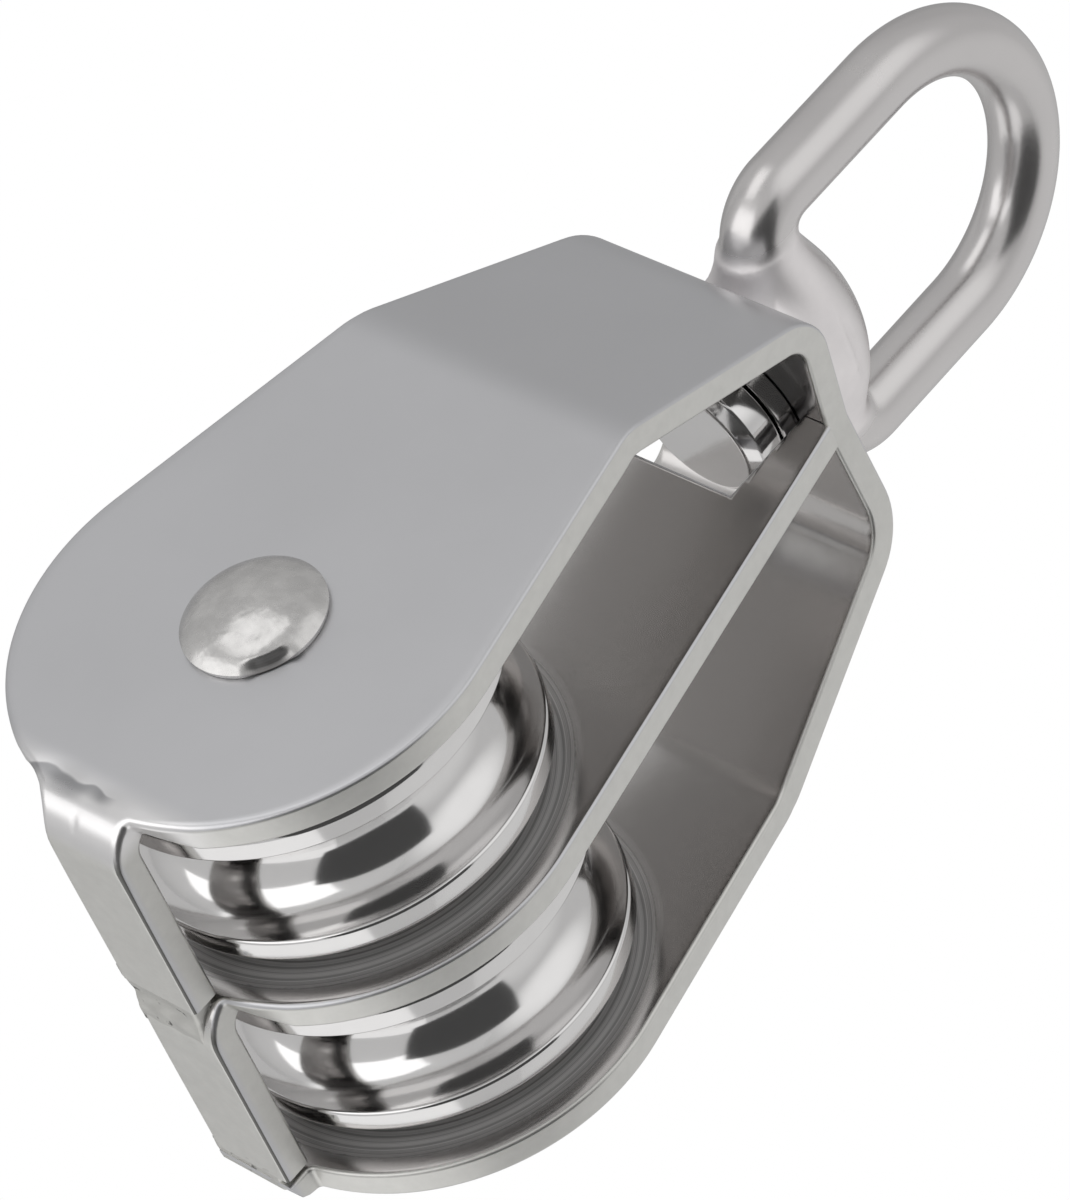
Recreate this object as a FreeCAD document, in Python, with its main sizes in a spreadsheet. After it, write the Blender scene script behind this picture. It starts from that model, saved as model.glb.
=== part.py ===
import FreeCAD, Part
import math
import os
import Sketcher

# Double swivel pulley block, millimetres.
# Origin: the point inside the top of the eye that bears on a shackle or hook.
# +Z up toward the eye, +Y along the axle toward the far cheek, +X across the cheeks.

DIMENSIONS = {
    # swivel eye
    "eye_rod": 5.4,
    "eye_inner_width": 18.4,
    "eye_inner_length": 19.0,
    "eye_corner_radius": 4.0,
    "saddle_height": 9.4,
    "boss_barrel_radius": 5.4,
    "boss_barrel_length": 18.0,
    "boss_neck_radius": 5.3,
    "boss_fillet": 1.6,
    "boss_foot_radius": 7.0,
    "boss_rim": 0.6,
    "shank_radius": 3.5,
    "shank_clearance": 0.1,
    "swivel_gap": 0.3,
    "washer_radius": 6.4,
    "washer_thickness": 1.4,
    "washer_gap": 0.1,
    "head_radius": 5.9,
    "head_height": 3.0,
    "head_bevel": 0.9,
    # folded sheet
    "sheet": 2.3,
    "block_width": 41.2,
    "cheek_margin": 2.3,
    "crown_height": 45.5,
    "fold_height": 25.2,
    "fold_half_width": 13.3,
    "flank_radius": 6.0,
    "crown_half_width": 8.8,
    "crown_span": 22.8,
    "fold_radius": 4.0,
    "crown_bend_radius": 3.5,
    "bend_radius": 1.6,
    "plate_top_half_width": 9.8,
    "edge_chamfer": 0.3,
    # bottom strap and its welds
    "strap_width": 7.4,
    "strap_clearance": 1.7,
    "far_corner_share": 0.78,
    "weld_root": 0.6,
    "weld_height": 2.1,
    "weld_touch": 1.6,
    "weld_hollow_radius": 2.6,
    "weld_crown": 0.1,
    # notch that clears the swivel head
    "notch_width": 14.0,
    "notch_depth": 8.3,
    # sheaves
    "sheave_radius": 16.0,
    "sheave_width": 13.2,
    "rim_land": 2.2,
    "groove_depth": 4.4,
    "groove_radius": 4.0,
    "rim_round": 0.3,
    "hub_radius": 6.0,
    "hub_play": 0.2,
    "bore_clearance": 0.08,
    # axle rivet
    "pin_radius": 3.0,
    "pin_hole_clearance": 0.05,
    "rivet_head_radius": 5.4,
    "rivet_head_height": 1.9,
    "rivet_head_edge": 0.45,
}


class Size:
    """A number together with the spreadsheet expression that gives it."""

    def __init__(self, value, text):
        self.value = float(value)
        self.text = text

    def __add__(self, other):
        other = as_size(other)
        return Size(self.value + other.value, f"({self.text} + {other.text})")

    def __sub__(self, other):
        other = as_size(other)
        return Size(self.value - other.value, f"({self.text} - {other.text})")

    def __mul__(self, other):
        other = as_size(other)
        return Size(self.value * other.value, f"({self.text} * {other.text})")

    def __truediv__(self, other):
        other = as_size(other)
        return Size(self.value / other.value, f"({self.text} / {other.text})")

    def __neg__(self):
        return Size(-self.value, f"(0 - {self.text})")

    def __rsub__(self, other):
        return as_size(other) - self

    __radd__ = __add__
    __rmul__ = __mul__


def as_size(number):
    """A plain number as a Size; a Size stays what it is."""
    if isinstance(number, Size):
        return number
    return Size(number, repr(float(number)))


def root_of(size):
    """Square root of a size."""
    return Size(math.sqrt(size.value), f"sqrt({size.text})")


doc = FreeCAD.newDocument("SwivelBlock")


def make_sheet():
    """The spreadsheet of driving dimensions, and one Size for each of its cells."""
    sheet = doc.addObject("Spreadsheet::Sheet", "Sizes")
    sizes = {}
    for row, (alias, number) in enumerate(DIMENSIONS.items(), start=1):
        sheet.set(f"A{row}", alias)
        sheet.set(f"B{row}", str(number))
        sheet.setAlias(f"B{row}", alias)
    doc.recompute()
    for alias in DIMENSIONS:
        sizes[alias] = Size(sheet.get(alias), f"Sizes.{alias}")
    return sizes


size = make_sheet()

# Heights along Z
rod = size["eye_rod"] / 2
leg_y = size["eye_inner_width"] / 2 + rod
arc_z = -(size["eye_inner_width"] / 2)
saddle_z = -size["eye_inner_length"]
bar_z = saddle_z - size["boss_barrel_radius"]
boss_z = saddle_z - size["saddle_height"]
crown_z = boss_z - size["swivel_gap"]
ceiling_z = crown_z - size["sheet"]
washer_z = ceiling_z - size["washer_gap"]
head_z = washer_z - size["washer_thickness"] - size["washer_gap"]
axle_z = crown_z - size["crown_height"]
fold_z = axle_z + size["fold_height"]
cheek_radius = size["sheave_radius"] + size["cheek_margin"]
strap_z = axle_z - size["sheave_radius"] - size["strap_clearance"] - size["sheet"]
bend_outer = size["bend_radius"] + size["sheet"]
bend_z = strap_z + bend_outer

# Places along Y
cheek_y = size["block_width"] / 2
inner_y = cheek_y - size["sheet"]
crown_y = size["crown_span"] / 2
plate_y = size["sheet"] / 2
chamber_y = (inner_y + plate_y) / 2
strap_half = size["strap_width"] / 2


def new_body(name):
    """A PartDesign body that becomes one node."""
    body = doc.addObject("PartDesign::Body", name)
    body.Label = name
    return body


def new_sketch(body, name, plane):
    """A sketch on one of the body's origin planes."""
    sketch = body.newObject("Sketcher::SketchObject", name)
    origin = body.Origin.OriginFeatures
    sketch.AttachmentSupport = [(next(item for item in origin if item.Role == plane), "")]
    sketch.MapMode = "FlatFace"
    return sketch


def place_point(sketch, geometry, end, x, y):
    """Tie one point of the sketch to an X and a Y that come from the spreadsheet."""
    for kind, number, axis in (("DistanceX", as_size(x), -2), ("DistanceY", as_size(y), -1)):
        if number.value == 0:
            sketch.addConstraint(Sketcher.Constraint("PointOnObject", geometry, end, axis))
            continue
        index = sketch.addConstraint(
            Sketcher.Constraint(kind, -1, 1, geometry, end, number.value))
        sketch.setExpression(f"Constraints[{index}]", number.text)


def set_radius(sketch, geometry, radius):
    """Tie the radius of an arc or circle to the spreadsheet."""
    radius = as_size(radius)
    index = sketch.addConstraint(Sketcher.Constraint("Radius", geometry, radius.value))
    sketch.setExpression(f"Constraints[{index}]", radius.text)


def vector(x, y):
    """A point of a sketch from two sizes or numbers."""
    return FreeCAD.Vector(as_size(x).value, as_size(y).value, 0)


def add_circle(sketch, x, y, radius):
    """A full circle with its centre and radius tied to the spreadsheet."""
    axis = FreeCAD.Vector(0, 0, 1)
    circle = sketch.addGeometry(Part.Circle(vector(x, y), axis, as_size(radius).value))
    place_point(sketch, circle, 3, x, y)
    set_radius(sketch, circle, radius)


def add_chain(sketch, points):
    """Lines from point to point, joined end to start. Their places are tied by the caller."""
    lines = []
    for start, end in zip(points, points[1:]):
        lines.append(sketch.addGeometry(Part.LineSegment(start, end)))
        if len(lines) > 1:
            sketch.addConstraint(
                Sketcher.Constraint("Coincident", lines[-2], 2, lines[-1], 1))
    return lines


def corner_cuts(points, corner, radius):
    """Where an arc of this radius leaves the lines before and after points[corner]."""
    here = points[corner]
    if radius is None:
        return here, here
    before = (points[corner - 1] - here).normalize()
    after = (points[(corner + 1) % len(points)] - here).normalize()
    reach = radius.value / math.tan(before.getAngle(after) / 2)
    return here + before * reach, here + after * reach


def join_lines(sketch, line_in, line_out, corner):
    """Join two lines at a corner (x, y) or (x, y, radius) that is tied to the spreadsheet.

    With a radius, the lines end in a tangent arc and their sharp corner stays as a point."""
    if len(corner) < 3:
        sketch.addConstraint(Sketcher.Constraint("Coincident", line_in, 2, line_out, 1))
        place_point(sketch, line_out, 1, *corner)
        return
    radius = as_size(corner[2])
    start, end = sketch.getPoint(line_in, 2), sketch.getPoint(line_out, 1)
    into = (start - sketch.getPoint(line_in, 1)).normalize()
    out = (sketch.getPoint(line_out, 2) - end).normalize()
    side = 1 if into.cross(out).z > 0 else -1
    centre = start + FreeCAD.Vector(-into.y, into.x, 0) * side * radius.value
    first, last = (start, end) if side > 0 else (end, start)
    circle = Part.Circle(centre, FreeCAD.Vector(0, 0, 1), radius.value)
    arc = sketch.addGeometry(Part.ArcOfCircle(
        circle, circle.parameter(first), circle.parameter(last)))
    arc_first, arc_last = (1, 2) if side > 0 else (2, 1)
    sketch.addConstraint(Sketcher.Constraint("Tangent", line_in, 2, arc, arc_first))
    sketch.addConstraint(Sketcher.Constraint("Tangent", arc, arc_last, line_out, 1))
    point = sketch.addGeometry(Part.Point(vector(*corner[:2])), True)
    place_point(sketch, point, 1, *corner[:2])
    sketch.addConstraint(Sketcher.Constraint("PointOnObject", point, 1, line_in))
    sketch.addConstraint(Sketcher.Constraint("PointOnObject", point, 1, line_out))
    set_radius(sketch, arc, radius)


def corner_radius(corner):
    """The radius of a corner (x, y, radius), or None for a sharp one."""
    return as_size(corner[2]) if len(corner) > 2 else None


def add_outline(sketch, corners):
    """A closed outline through corners (x, y) or (x, y, radius), each tied to the spreadsheet."""
    points = [vector(*corner[:2]) for corner in corners]
    cuts = [
        corner_cuts(points, index, corner_radius(corner))
        for index, corner in enumerate(corners)]
    lines = []
    for index, cut in enumerate(cuts):
        following = cuts[(index + 1) % len(cuts)]
        lines.append(sketch.addGeometry(Part.LineSegment(cut[1], following[0])))
    for index, corner in enumerate(corners):
        join_lines(sketch, lines[index - 1], lines[index], corner)


def set_length(feature, prop, amount):
    """Tie a length of a feature to the spreadsheet."""
    amount = as_size(amount)
    setattr(feature, prop, amount.value)
    feature.setExpression(prop, amount.text)


def pad(body, name, sketch, length):
    """A pad centred on its sketch."""
    feature = body.newObject("PartDesign::Pad", name)
    feature.Profile = sketch
    feature.Midplane = True
    set_length(feature, "Length", length)
    return feature


def cut_through(body, name, sketch):
    """A pocket that goes through the body on both sides of its sketch."""
    feature = body.newObject("PartDesign::Pocket", name)
    feature.Profile = sketch
    feature.Type = "ThroughAll"
    feature.Midplane = True
    return feature


def cut_depth(body, name, sketch, length, turned):
    """A pocket of one depth, to one side of its sketch."""
    feature = body.newObject("PartDesign::Pocket", name)
    feature.Profile = sketch
    set_length(feature, "Length", length)
    feature.Reversed = turned
    return feature


def revolve(body, name, sketch, axis):
    """A full turn of a sketch about its own X or Y axis."""
    feature = body.newObject("PartDesign::Revolution", name)
    feature.Profile = sketch
    feature.ReferenceAxis = (sketch, [axis])
    feature.Angle = 360
    return feature


def break_rim(body, name):
    """A small chamfer on the rim edges of a folded sheet."""
    doc.recompute()
    base = body.Tip
    is_rim = sheet_rim(base.Shape)
    names = []
    for index, edge in enumerate(base.Shape.Edges, start=1):
        if is_rim(edge):
            names.append(f"Edge{index}")
    feature = body.newObject("PartDesign::Chamfer", name)
    feature.Base = (base, names)
    set_length(feature, "Size", size["edge_chamfer"])
    return feature


def sheet_rim(shape):
    """A test for the rim edges of folded sheet: between a broad face and a cut face.

    Broad faces run along X, so their normal has no X part, and a cut face's normal has."""
    def is_rim(edge):
        if edge.isClosed():
            return False
        middle = edge.valueAt((edge.FirstParameter + edge.LastParameter) / 2)
        across = []
        for face in shape.ancestorsOfType(edge, Part.Face):
            u, v = face.Surface.parameter(middle)
            across.append(abs(face.normalAt(u, v).x) > 0.05)
        return len(across) == 2 and across[0] != across[1]
    return is_rim


# Swivel eye
def draw_eye_path(sketch):
    """The closed centre line of the eye: two legs, a half round top and a bar at the foot."""
    top = arc_z + leg_y
    corner = size["eye_corner_radius"]
    axis = FreeCAD.Vector(0, 0, 1)
    half_turn = math.pi / 2
    crown_circle = Part.Circle(vector(0, arc_z), axis, leg_y.value)
    geometry = [
        Part.ArcOfCircle(crown_circle, 0, half_turn),
        Part.ArcOfCircle(crown_circle, half_turn, math.pi),
        Part.LineSegment(vector(-leg_y, arc_z), vector(-leg_y, bar_z + corner)),
        Part.ArcOfCircle(Part.Circle(vector(corner - leg_y, bar_z + corner), axis, corner.value),
                         math.pi, 3 * half_turn),
        Part.LineSegment(vector(corner - leg_y, bar_z), vector(leg_y - corner, bar_z)),
        Part.ArcOfCircle(Part.Circle(vector(leg_y - corner, bar_z + corner), axis, corner.value),
                         3 * half_turn, 2 * math.pi),
        Part.LineSegment(vector(leg_y, bar_z + corner), vector(leg_y, arc_z)),
    ]
    edges = [sketch.addGeometry(item) for item in geometry]
    for index, edge in enumerate(edges):
        following = edges[(index + 1) % len(edges)]
        sketch.addConstraint(Sketcher.Constraint("Tangent", edge, 2, following, 1))
    place_point(sketch, edges[0], 3, 0, arc_z)
    place_point(sketch, edges[0], 2, 0, top)
    sketch.addConstraint(Sketcher.Constraint("Vertical", edges[6]))
    place_point(sketch, edges[2], 1, -leg_y, arc_z)
    place_point(sketch, edges[4], 1, corner - leg_y, bar_z)
    place_point(sketch, edges[4], 2, leg_y - corner, bar_z)


def make_swivel_eye():
    """Cast eye: a ring on a domed boss, with its shank and peened head below."""
    body = new_body("swivel_eye")
    path = new_sketch(body, "EyePath", "YZ_Plane")
    draw_eye_path(path)
    section = new_sketch(body, "EyeSection", "XZ_Plane")
    add_circle(section, 0, arc_z + leg_y, rod)
    ring = body.newObject("PartDesign::AdditivePipe", "EyeRing")
    ring.Profile = section
    ring.Spine = path
    ring.Mode = "Frenet"
    add_boss(body)
    add_shank(body)
    return body


def add_boss(body):
    """The boss: a barrel round the bar of the eye, on a round neck with a flared foot."""
    barrel = size["boss_barrel_radius"]
    half = size["boss_barrel_length"] / 2
    bulge = barrel - rod
    profile = (half * half + bulge * bulge) / (2 * bulge)
    sketch = new_sketch(body, "BarrelSection", "YZ_Plane")
    swing = math.asin(half.value / profile.value)
    circle = Part.Circle(
        vector(0, saddle_z - profile), FreeCAD.Vector(0, 0, 1), profile.value)
    top = math.pi / 2
    arc = sketch.addGeometry(Part.ArcOfCircle(circle, top - swing, top + swing))
    lines = add_chain(sketch, [
        vector(-half, bar_z + rod), vector(-half, bar_z), vector(half, bar_z),
        vector(half, bar_z + rod)])
    for line, y, z in ((lines[0], -half, bar_z + rod), (lines[1], -half, bar_z),
                       (lines[2], half, bar_z)):
        place_point(sketch, line, 1, y, z)
    place_point(sketch, lines[2], 2, half, bar_z + rod)
    sketch.addConstraint(Sketcher.Constraint("Coincident", arc, 2, lines[0], 1))
    sketch.addConstraint(Sketcher.Constraint("Coincident", arc, 1, lines[2], 2))
    set_radius(sketch, arc, profile)
    revolve(body, "BossBarrel", sketch, "Edge3")

    underside = new_sketch(body, "BossUnderside", "YZ_Plane")
    low = boss_z - barrel
    add_outline(underside, [(-leg_y, low), (leg_y, low), (leg_y, boss_z), (-leg_y, boss_z)])
    cut_through(body, "BossUndersideCut", underside)

    neck = size["boss_neck_radius"]
    foot = size["boss_foot_radius"]
    rim_z = boss_z + size["boss_rim"]
    foot_section = new_sketch(body, "FootSection", "XZ_Plane")
    add_outline(foot_section, [
        (0, boss_z),
        (foot, boss_z),
        (foot, rim_z),
        (neck, rim_z, size["boss_fillet"]),
        (neck, bar_z),
        (0, bar_z),
    ])
    revolve(body, "BossFoot", foot_section, "V_Axis")


def add_shank(body):
    """The shank through the crown and the peened head below it."""
    shank = size["shank_radius"]
    head = size["head_radius"]
    bevel = size["head_bevel"]
    low = head_z - size["head_height"]
    sketch = new_sketch(body, "ShankSection", "XZ_Plane")
    add_outline(sketch, [
        (0, boss_z + size["boss_rim"]),
        (0, low),
        (head - bevel, low),
        (head, low + bevel),
        (head, head_z),
        (shank, head_z),
        (shank, boss_z + size["boss_rim"]),
    ])
    revolve(body, "ShankTurned", sketch, "V_Axis")


def make_swivel_washer():
    """Loose washer between the peened head and the underside of the crown."""
    body = new_body("swivel_washer")
    inner = size["shank_radius"] + size["shank_clearance"]
    outer = size["washer_radius"]
    low = washer_z - size["washer_thickness"]
    sketch = new_sketch(body, "WasherSection", "XZ_Plane")
    add_outline(sketch, [
        (inner, low), (outer, low), (outer, washer_z), (inner, washer_z)])
    revolve(body, "WasherTurned", sketch, "V_Axis")
    return body


# Folded sheet
def cheek_outline(sketch, top_corners, tongue):
    """Front outline of a cheek or plate: a round foot about the axle and straight flanks.

    top_corners lists (half width, height) from the flank's upper end to the top edge, with a
    radius where the corner is round.
    The flanks leave the round foot as tangents. A tongue is as wide as the strap."""
    end_x, end_z = (corner.value for corner in top_corners[0][:2])
    rise = end_z - axle_z.value
    reach = math.hypot(end_x, rise)
    touch = math.atan2(rise, end_x) - math.acos(cheek_radius.value / reach)
    neck = math.asin(strap_half.value / cheek_radius.value) - math.pi / 2
    circle = Part.Circle(vector(0, axle_z), FreeCAD.Vector(0, 0, 1), cheek_radius.value)
    spans = [(math.pi - touch, 2 * math.pi + touch)]
    if tongue:
        spans = [(math.pi - touch, math.pi - neck), (neck, touch)]
    arcs = [sketch.addGeometry(Part.ArcOfCircle(circle, *span)) for span in spans]
    left_arc, right_arc = arcs[0], arcs[-1]
    for arc in arcs:
        place_point(sketch, arc, 3, 0, axle_z)
        set_radius(sketch, arc, cheek_radius)

    corners = top_corners + [(-x, *rest) for x, *rest in reversed(top_corners)]
    points = [circle.value(touch)] + [vector(*corner[:2]) for corner in corners]
    points.append(circle.value(math.pi - touch))
    cuts = [(points[0], points[0])]
    for index, corner in enumerate(corners, start=1):
        cuts.append(corner_cuts(points, index, corner_radius(corner)))
    cuts.append((points[-1], points[-1]))
    flank = []
    for cut, following in zip(cuts, cuts[1:]):
        flank.append(sketch.addGeometry(Part.LineSegment(cut[1], following[0])))
    for index, corner in enumerate(corners):
        join_lines(sketch, flank[index], flank[index + 1], corner)
    sketch.addConstraint(Sketcher.Constraint("Tangent", right_arc, 2, flank[0], 1))
    sketch.addConstraint(Sketcher.Constraint("Tangent", flank[-1], 2, left_arc, 1))

    if not tongue:
        return
    foot = add_chain(sketch, [
        circle.value(math.pi - neck), vector(-strap_half, strap_z),
        vector(strap_half, strap_z), circle.value(neck)])
    place_point(sketch, foot[0], 2, -strap_half, strap_z)
    place_point(sketch, foot[2], 1, strap_half, strap_z)
    sketch.addConstraint(Sketcher.Constraint("Vertical", foot[0]))
    sketch.addConstraint(Sketcher.Constraint("Vertical", foot[2]))
    sketch.addConstraint(Sketcher.Constraint("Coincident", left_arc, 2, foot[0], 1))
    sketch.addConstraint(Sketcher.Constraint("Coincident", foot[2], 2, right_arc, 1))


def add_frame(sketch):
    """A rectangle well outside every outline, so that a pocket trims down to the outline."""
    margin = cheek_radius * 2
    low = strap_z - margin
    high = crown_z + margin
    add_outline(sketch, [(-margin, low), (margin, low), (margin, high), (-margin, high)])


def shell_section():
    """Section of the folded strip in the YZ plane, without the tab at the near foot."""
    thick = size["sheet"]
    run = cheek_y - crown_y
    rise = crown_z - fold_z
    slope = root_of(run * run + rise * rise)
    fold_drop = thick * (slope - rise) / run
    crown_inset = thick * (slope - run) / rise
    fold = size["fold_radius"]
    bend = size["crown_bend_radius"]
    return [
        (-cheek_y, strap_z),
        (-inner_y, strap_z),
        (-inner_y, fold_z - fold_drop, fold),
        (crown_inset - crown_y, ceiling_z, bend),
        (crown_y - crown_inset, ceiling_z, bend),
        (inner_y, fold_z - fold_drop, fold),
        (inner_y, strap_z),
        (cheek_y, strap_z, thick * size["far_corner_share"]),
        (cheek_y, fold_z, fold + thick),
        (crown_y, crown_z, bend + thick),
        (-crown_y, crown_z, bend + thick),
        (-cheek_y, fold_z, fold + thick),
    ]


def bent_tab(sketch, face_y, side, end_y):
    """Section of a tab: down from the plate's foot, round the bend and along the strap.

    face_y is the plate's outer face, and side is the way in which the strap runs."""
    inner_face = face_y + side * size["sheet"]
    strap_top = strap_z + size["sheet"]
    root_z = bend_z + size["sheet"]
    add_outline(sketch, [
        (face_y, root_z),
        (face_y, strap_z, bend_outer),
        (end_y, strap_z),
        (end_y, strap_top),
        (inner_face, strap_top, size["bend_radius"]),
        (inner_face, root_z),
    ])


def relief(sketch):
    """The window in a plate's foot where the tab bends away."""
    low = strap_z - size["sheet"]
    add_outline(sketch, [
        (-strap_half, low), (strap_half, low), (strap_half, bend_z), (-strap_half, bend_z)])


def make_cheek_shell():
    """One folded strip: near cheek, crown, far cheek, and the near half of the strap."""
    body = new_body("cheek_shell")
    section = new_sketch(body, "ShellSection", "YZ_Plane")
    add_outline(section, shell_section())
    pad(body, "ShellStrip", section, cheek_radius * 2 + size["sheet"])

    outline = new_sketch(body, "CheekOutline", "XZ_Plane")
    add_frame(outline)
    cheek_outline(outline, [
        (size["fold_half_width"], fold_z, size["flank_radius"]),
        (size["crown_half_width"], crown_z + size["sheet"])], tongue=True)
    cut_through(body, "ShellTrim", outline)
    break_rim(body, "ShellRim")

    window = new_sketch(body, "NearFootWindow", "XZ_Plane")
    relief(window)
    cut_depth(body, "NearFootCut", window, size["block_width"], True)
    tab = new_sketch(body, "NearTabSection", "YZ_Plane")
    bent_tab(tab, -cheek_y, 1, -plate_y - size["weld_root"])
    pad(body, "NearTab", tab, size["strap_width"])

    swivel_hole = new_sketch(body, "SwivelHole", "XY_Plane")
    add_circle(swivel_hole, 0, 0, size["shank_radius"] + size["shank_clearance"])
    cut_through(body, "SwivelHoleCut", swivel_hole)
    pin_hole = new_sketch(body, "PinHole", "XZ_Plane")
    add_circle(pin_hole, 0, axle_z, size["pin_radius"] + size["pin_hole_clearance"])
    cut_through(body, "PinHoleCut", pin_hole)
    return body


def make_centre_plate():
    """Plate between the sheaves, notched round the swivel head, with the far half of the strap."""
    body = new_body("centre_plate")
    section = new_sketch(body, "PlateSection", "YZ_Plane")
    add_outline(section, [
        (-plate_y, strap_z), (plate_y, strap_z), (plate_y, ceiling_z), (-plate_y, ceiling_z)])
    pad(body, "PlateStrip", section, cheek_radius * 2 + size["sheet"])

    outline = new_sketch(body, "PlateOutline", "XZ_Plane")
    add_frame(outline)
    cheek_outline(outline, [(size["plate_top_half_width"], ceiling_z)], tongue=False)
    cut_through(body, "PlateTrim", outline)
    break_rim(body, "PlateRim")

    window = new_sketch(body, "PlateFootWindow", "XZ_Plane")
    relief(window)
    cut_through(body, "PlateFootCut", window)
    tab = new_sketch(body, "FarTabSection", "YZ_Plane")
    bent_tab(tab, -plate_y, 1, inner_y - size["weld_root"])
    pad(body, "FarTab", tab, size["strap_width"])

    notch = new_sketch(body, "HeadNotch", "XZ_Plane")
    notch_half = size["notch_width"] / 2
    notch_z = ceiling_z - size["notch_depth"]
    above_z = ceiling_z + size["sheet"]
    add_outline(notch, [
        (-notch_half, notch_z), (notch_half, notch_z), (notch_half, above_z), (-notch_half, above_z)])
    cut_through(body, "HeadNotchCut", notch)
    pin_hole = new_sketch(body, "PinHole", "XZ_Plane")
    add_circle(pin_hole, 0, axle_z, size["pin_radius"] + size["pin_hole_clearance"])
    cut_through(body, "PinHoleCut", pin_hole)
    return body


# Axle and sheaves
def seat_on_axle(body):
    """Put a turned piece, drawn about its own Y axis, at the height of the axle."""
    body.Placement.Base.z = axle_z.value
    body.setExpression("Placement.Base.z", axle_z.text)


def make_axle_rivet():
    """Pin through the whole block with a low domed head at each end."""
    body = new_body("axle_rivet")
    seat_on_axle(body)
    pin = size["pin_radius"]
    head = size["rivet_head_radius"]
    edge = size["rivet_head_edge"]
    tip = cheek_y + size["rivet_head_height"]
    dome = size["rivet_head_height"] - edge
    dome_radius = (head * head + dome * dome) / (2 * dome)
    sketch = new_sketch(body, "RivetSection", "XY_Plane")
    corners = [
        (0, -tip), (0, tip), (head, cheek_y + edge), (head, cheek_y), (pin, cheek_y),
        (pin, -cheek_y), (head, -cheek_y), (head, -cheek_y - edge)]
    lines = {}
    for index, start in enumerate(corners):
        end = corners[(index + 1) % len(corners)]
        if index not in (1, 7):
            lines[index] = sketch.addGeometry(Part.LineSegment(vector(*start), vector(*end)))
    for index, line in lines.items():
        place_point(sketch, line, 1, *corners[index])
        if index + 1 in lines:
            sketch.addConstraint(Sketcher.Constraint("Coincident", line, 2, lines[index + 1], 1))
        else:
            place_point(sketch, line, 2, *corners[(index + 1) % len(corners)])
    for side, line, line_end, other, other_end in (
            (1, lines[2], 1, lines[0], 2), (-1, lines[0], 1, lines[6], 2)):
        centre = vector(0, side * (tip - dome_radius))
        circle = Part.Circle(centre, FreeCAD.Vector(0, 0, 1), dome_radius.value)
        swing = math.asin(head.value / dome_radius.value)
        start, end = math.pi / 2 - swing, math.pi / 2
        if side < 0:
            start, end = -math.pi / 2, -math.pi / 2 + swing
        arc = sketch.addGeometry(Part.ArcOfCircle(circle, start, end))
        sketch.addConstraint(Sketcher.Constraint("PointOnObject", arc, 3, -2))
        sketch.addConstraint(Sketcher.Constraint("Coincident", arc, 1, line, line_end))
        sketch.addConstraint(Sketcher.Constraint("Coincident", arc, 2, other, other_end))
    revolve(body, "RivetTurned", sketch, "V_Axis")
    return body


def bead_arc(sketch, left_y, right_y, bulge):
    """The ground face of a weld: a shallow arc along the strap, bulging down by bulge."""
    half = (right_y - left_y) / 2
    radius = (half * half + bulge * bulge) / (2 * bulge)
    swing = math.asin(half.value / radius.value)
    middle = (left_y + right_y) / 2
    circle = Part.Circle(
        vector(middle, strap_z - bulge + radius), FreeCAD.Vector(0, 0, 1), radius.value)
    down = -math.pi / 2
    arc = sketch.addGeometry(Part.ArcOfCircle(circle, down - swing, down + swing))
    place_point(sketch, arc, 1, left_y, strap_z)
    place_point(sketch, arc, 2, right_y, strap_z)
    set_radius(sketch, arc, radius)
    return arc


def make_centre_weld():
    """Weld between the end of the near tab and the outside of the centre plate's bend.

    Its ground face is hollow: an arc from the tab's corner to where it touches the bend."""
    body = new_body("strap_weld_centre")
    sketch = new_sketch(body, "CentreWeldSection", "YZ_Plane")
    end_y = -plate_y - size["weld_root"]
    bend_y = bend_outer - plate_y
    touch_y = bend_y - size["weld_touch"]
    top_z = strap_z + size["weld_height"]
    outer = bend_outer.value
    axis = FreeCAD.Vector(0, 0, 1)
    touch_angle = math.acos(size["weld_touch"].value / outer)
    lift = math.asin((bend_z.value - top_z.value) / outer)
    bend_circle = Part.Circle(vector(bend_y, bend_z), axis, outer)
    bend = sketch.addGeometry(
        Part.ArcOfCircle(bend_circle, math.pi + lift, math.pi + touch_angle))
    touch = bend_circle.value(math.pi + touch_angle)
    corner = vector(end_y, strap_z)
    hollow = size["weld_hollow_radius"].value
    chord = touch - corner
    drop = math.sqrt(hollow ** 2 - (chord.Length / 2) ** 2)
    across = FreeCAD.Vector(chord.y, -chord.x, 0).normalize()
    centre = corner + chord / 2 + across * drop
    start = math.atan2(touch.y - centre.y, touch.x - centre.x)
    end = math.atan2(corner.y - centre.y, corner.x - centre.x)
    face = sketch.addGeometry(Part.ArcOfCircle(Part.Circle(centre, axis, hollow), start, end))
    lines = add_chain(sketch, [
        bend_circle.value(math.pi + lift), vector(end_y, top_z), vector(end_y, strap_z)])
    place_point(sketch, bend, 3, bend_y, bend_z)
    set_radius(sketch, bend, bend_outer)
    place_point(sketch, lines[0], 2, end_y, top_z)
    place_point(sketch, lines[1], 2, end_y, strap_z)
    sketch.addConstraint(Sketcher.Constraint("Horizontal", lines[0]))
    sketch.addConstraint(Sketcher.Constraint("Coincident", bend, 1, lines[0], 1))
    sketch.addConstraint(Sketcher.Constraint("Coincident", face, 2, lines[1], 2))
    sketch.addConstraint(Sketcher.Constraint("Coincident", face, 1, bend, 2))
    index = sketch.addConstraint(
        Sketcher.Constraint("DistanceX", -1, 1, face, 1, touch_y.value))
    sketch.setExpression(f"Constraints[{index}]", touch_y.text)
    set_radius(sketch, face, size["weld_hollow_radius"])
    pad(body, "CentreWeldBead", sketch, size["strap_width"])
    return body


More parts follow.
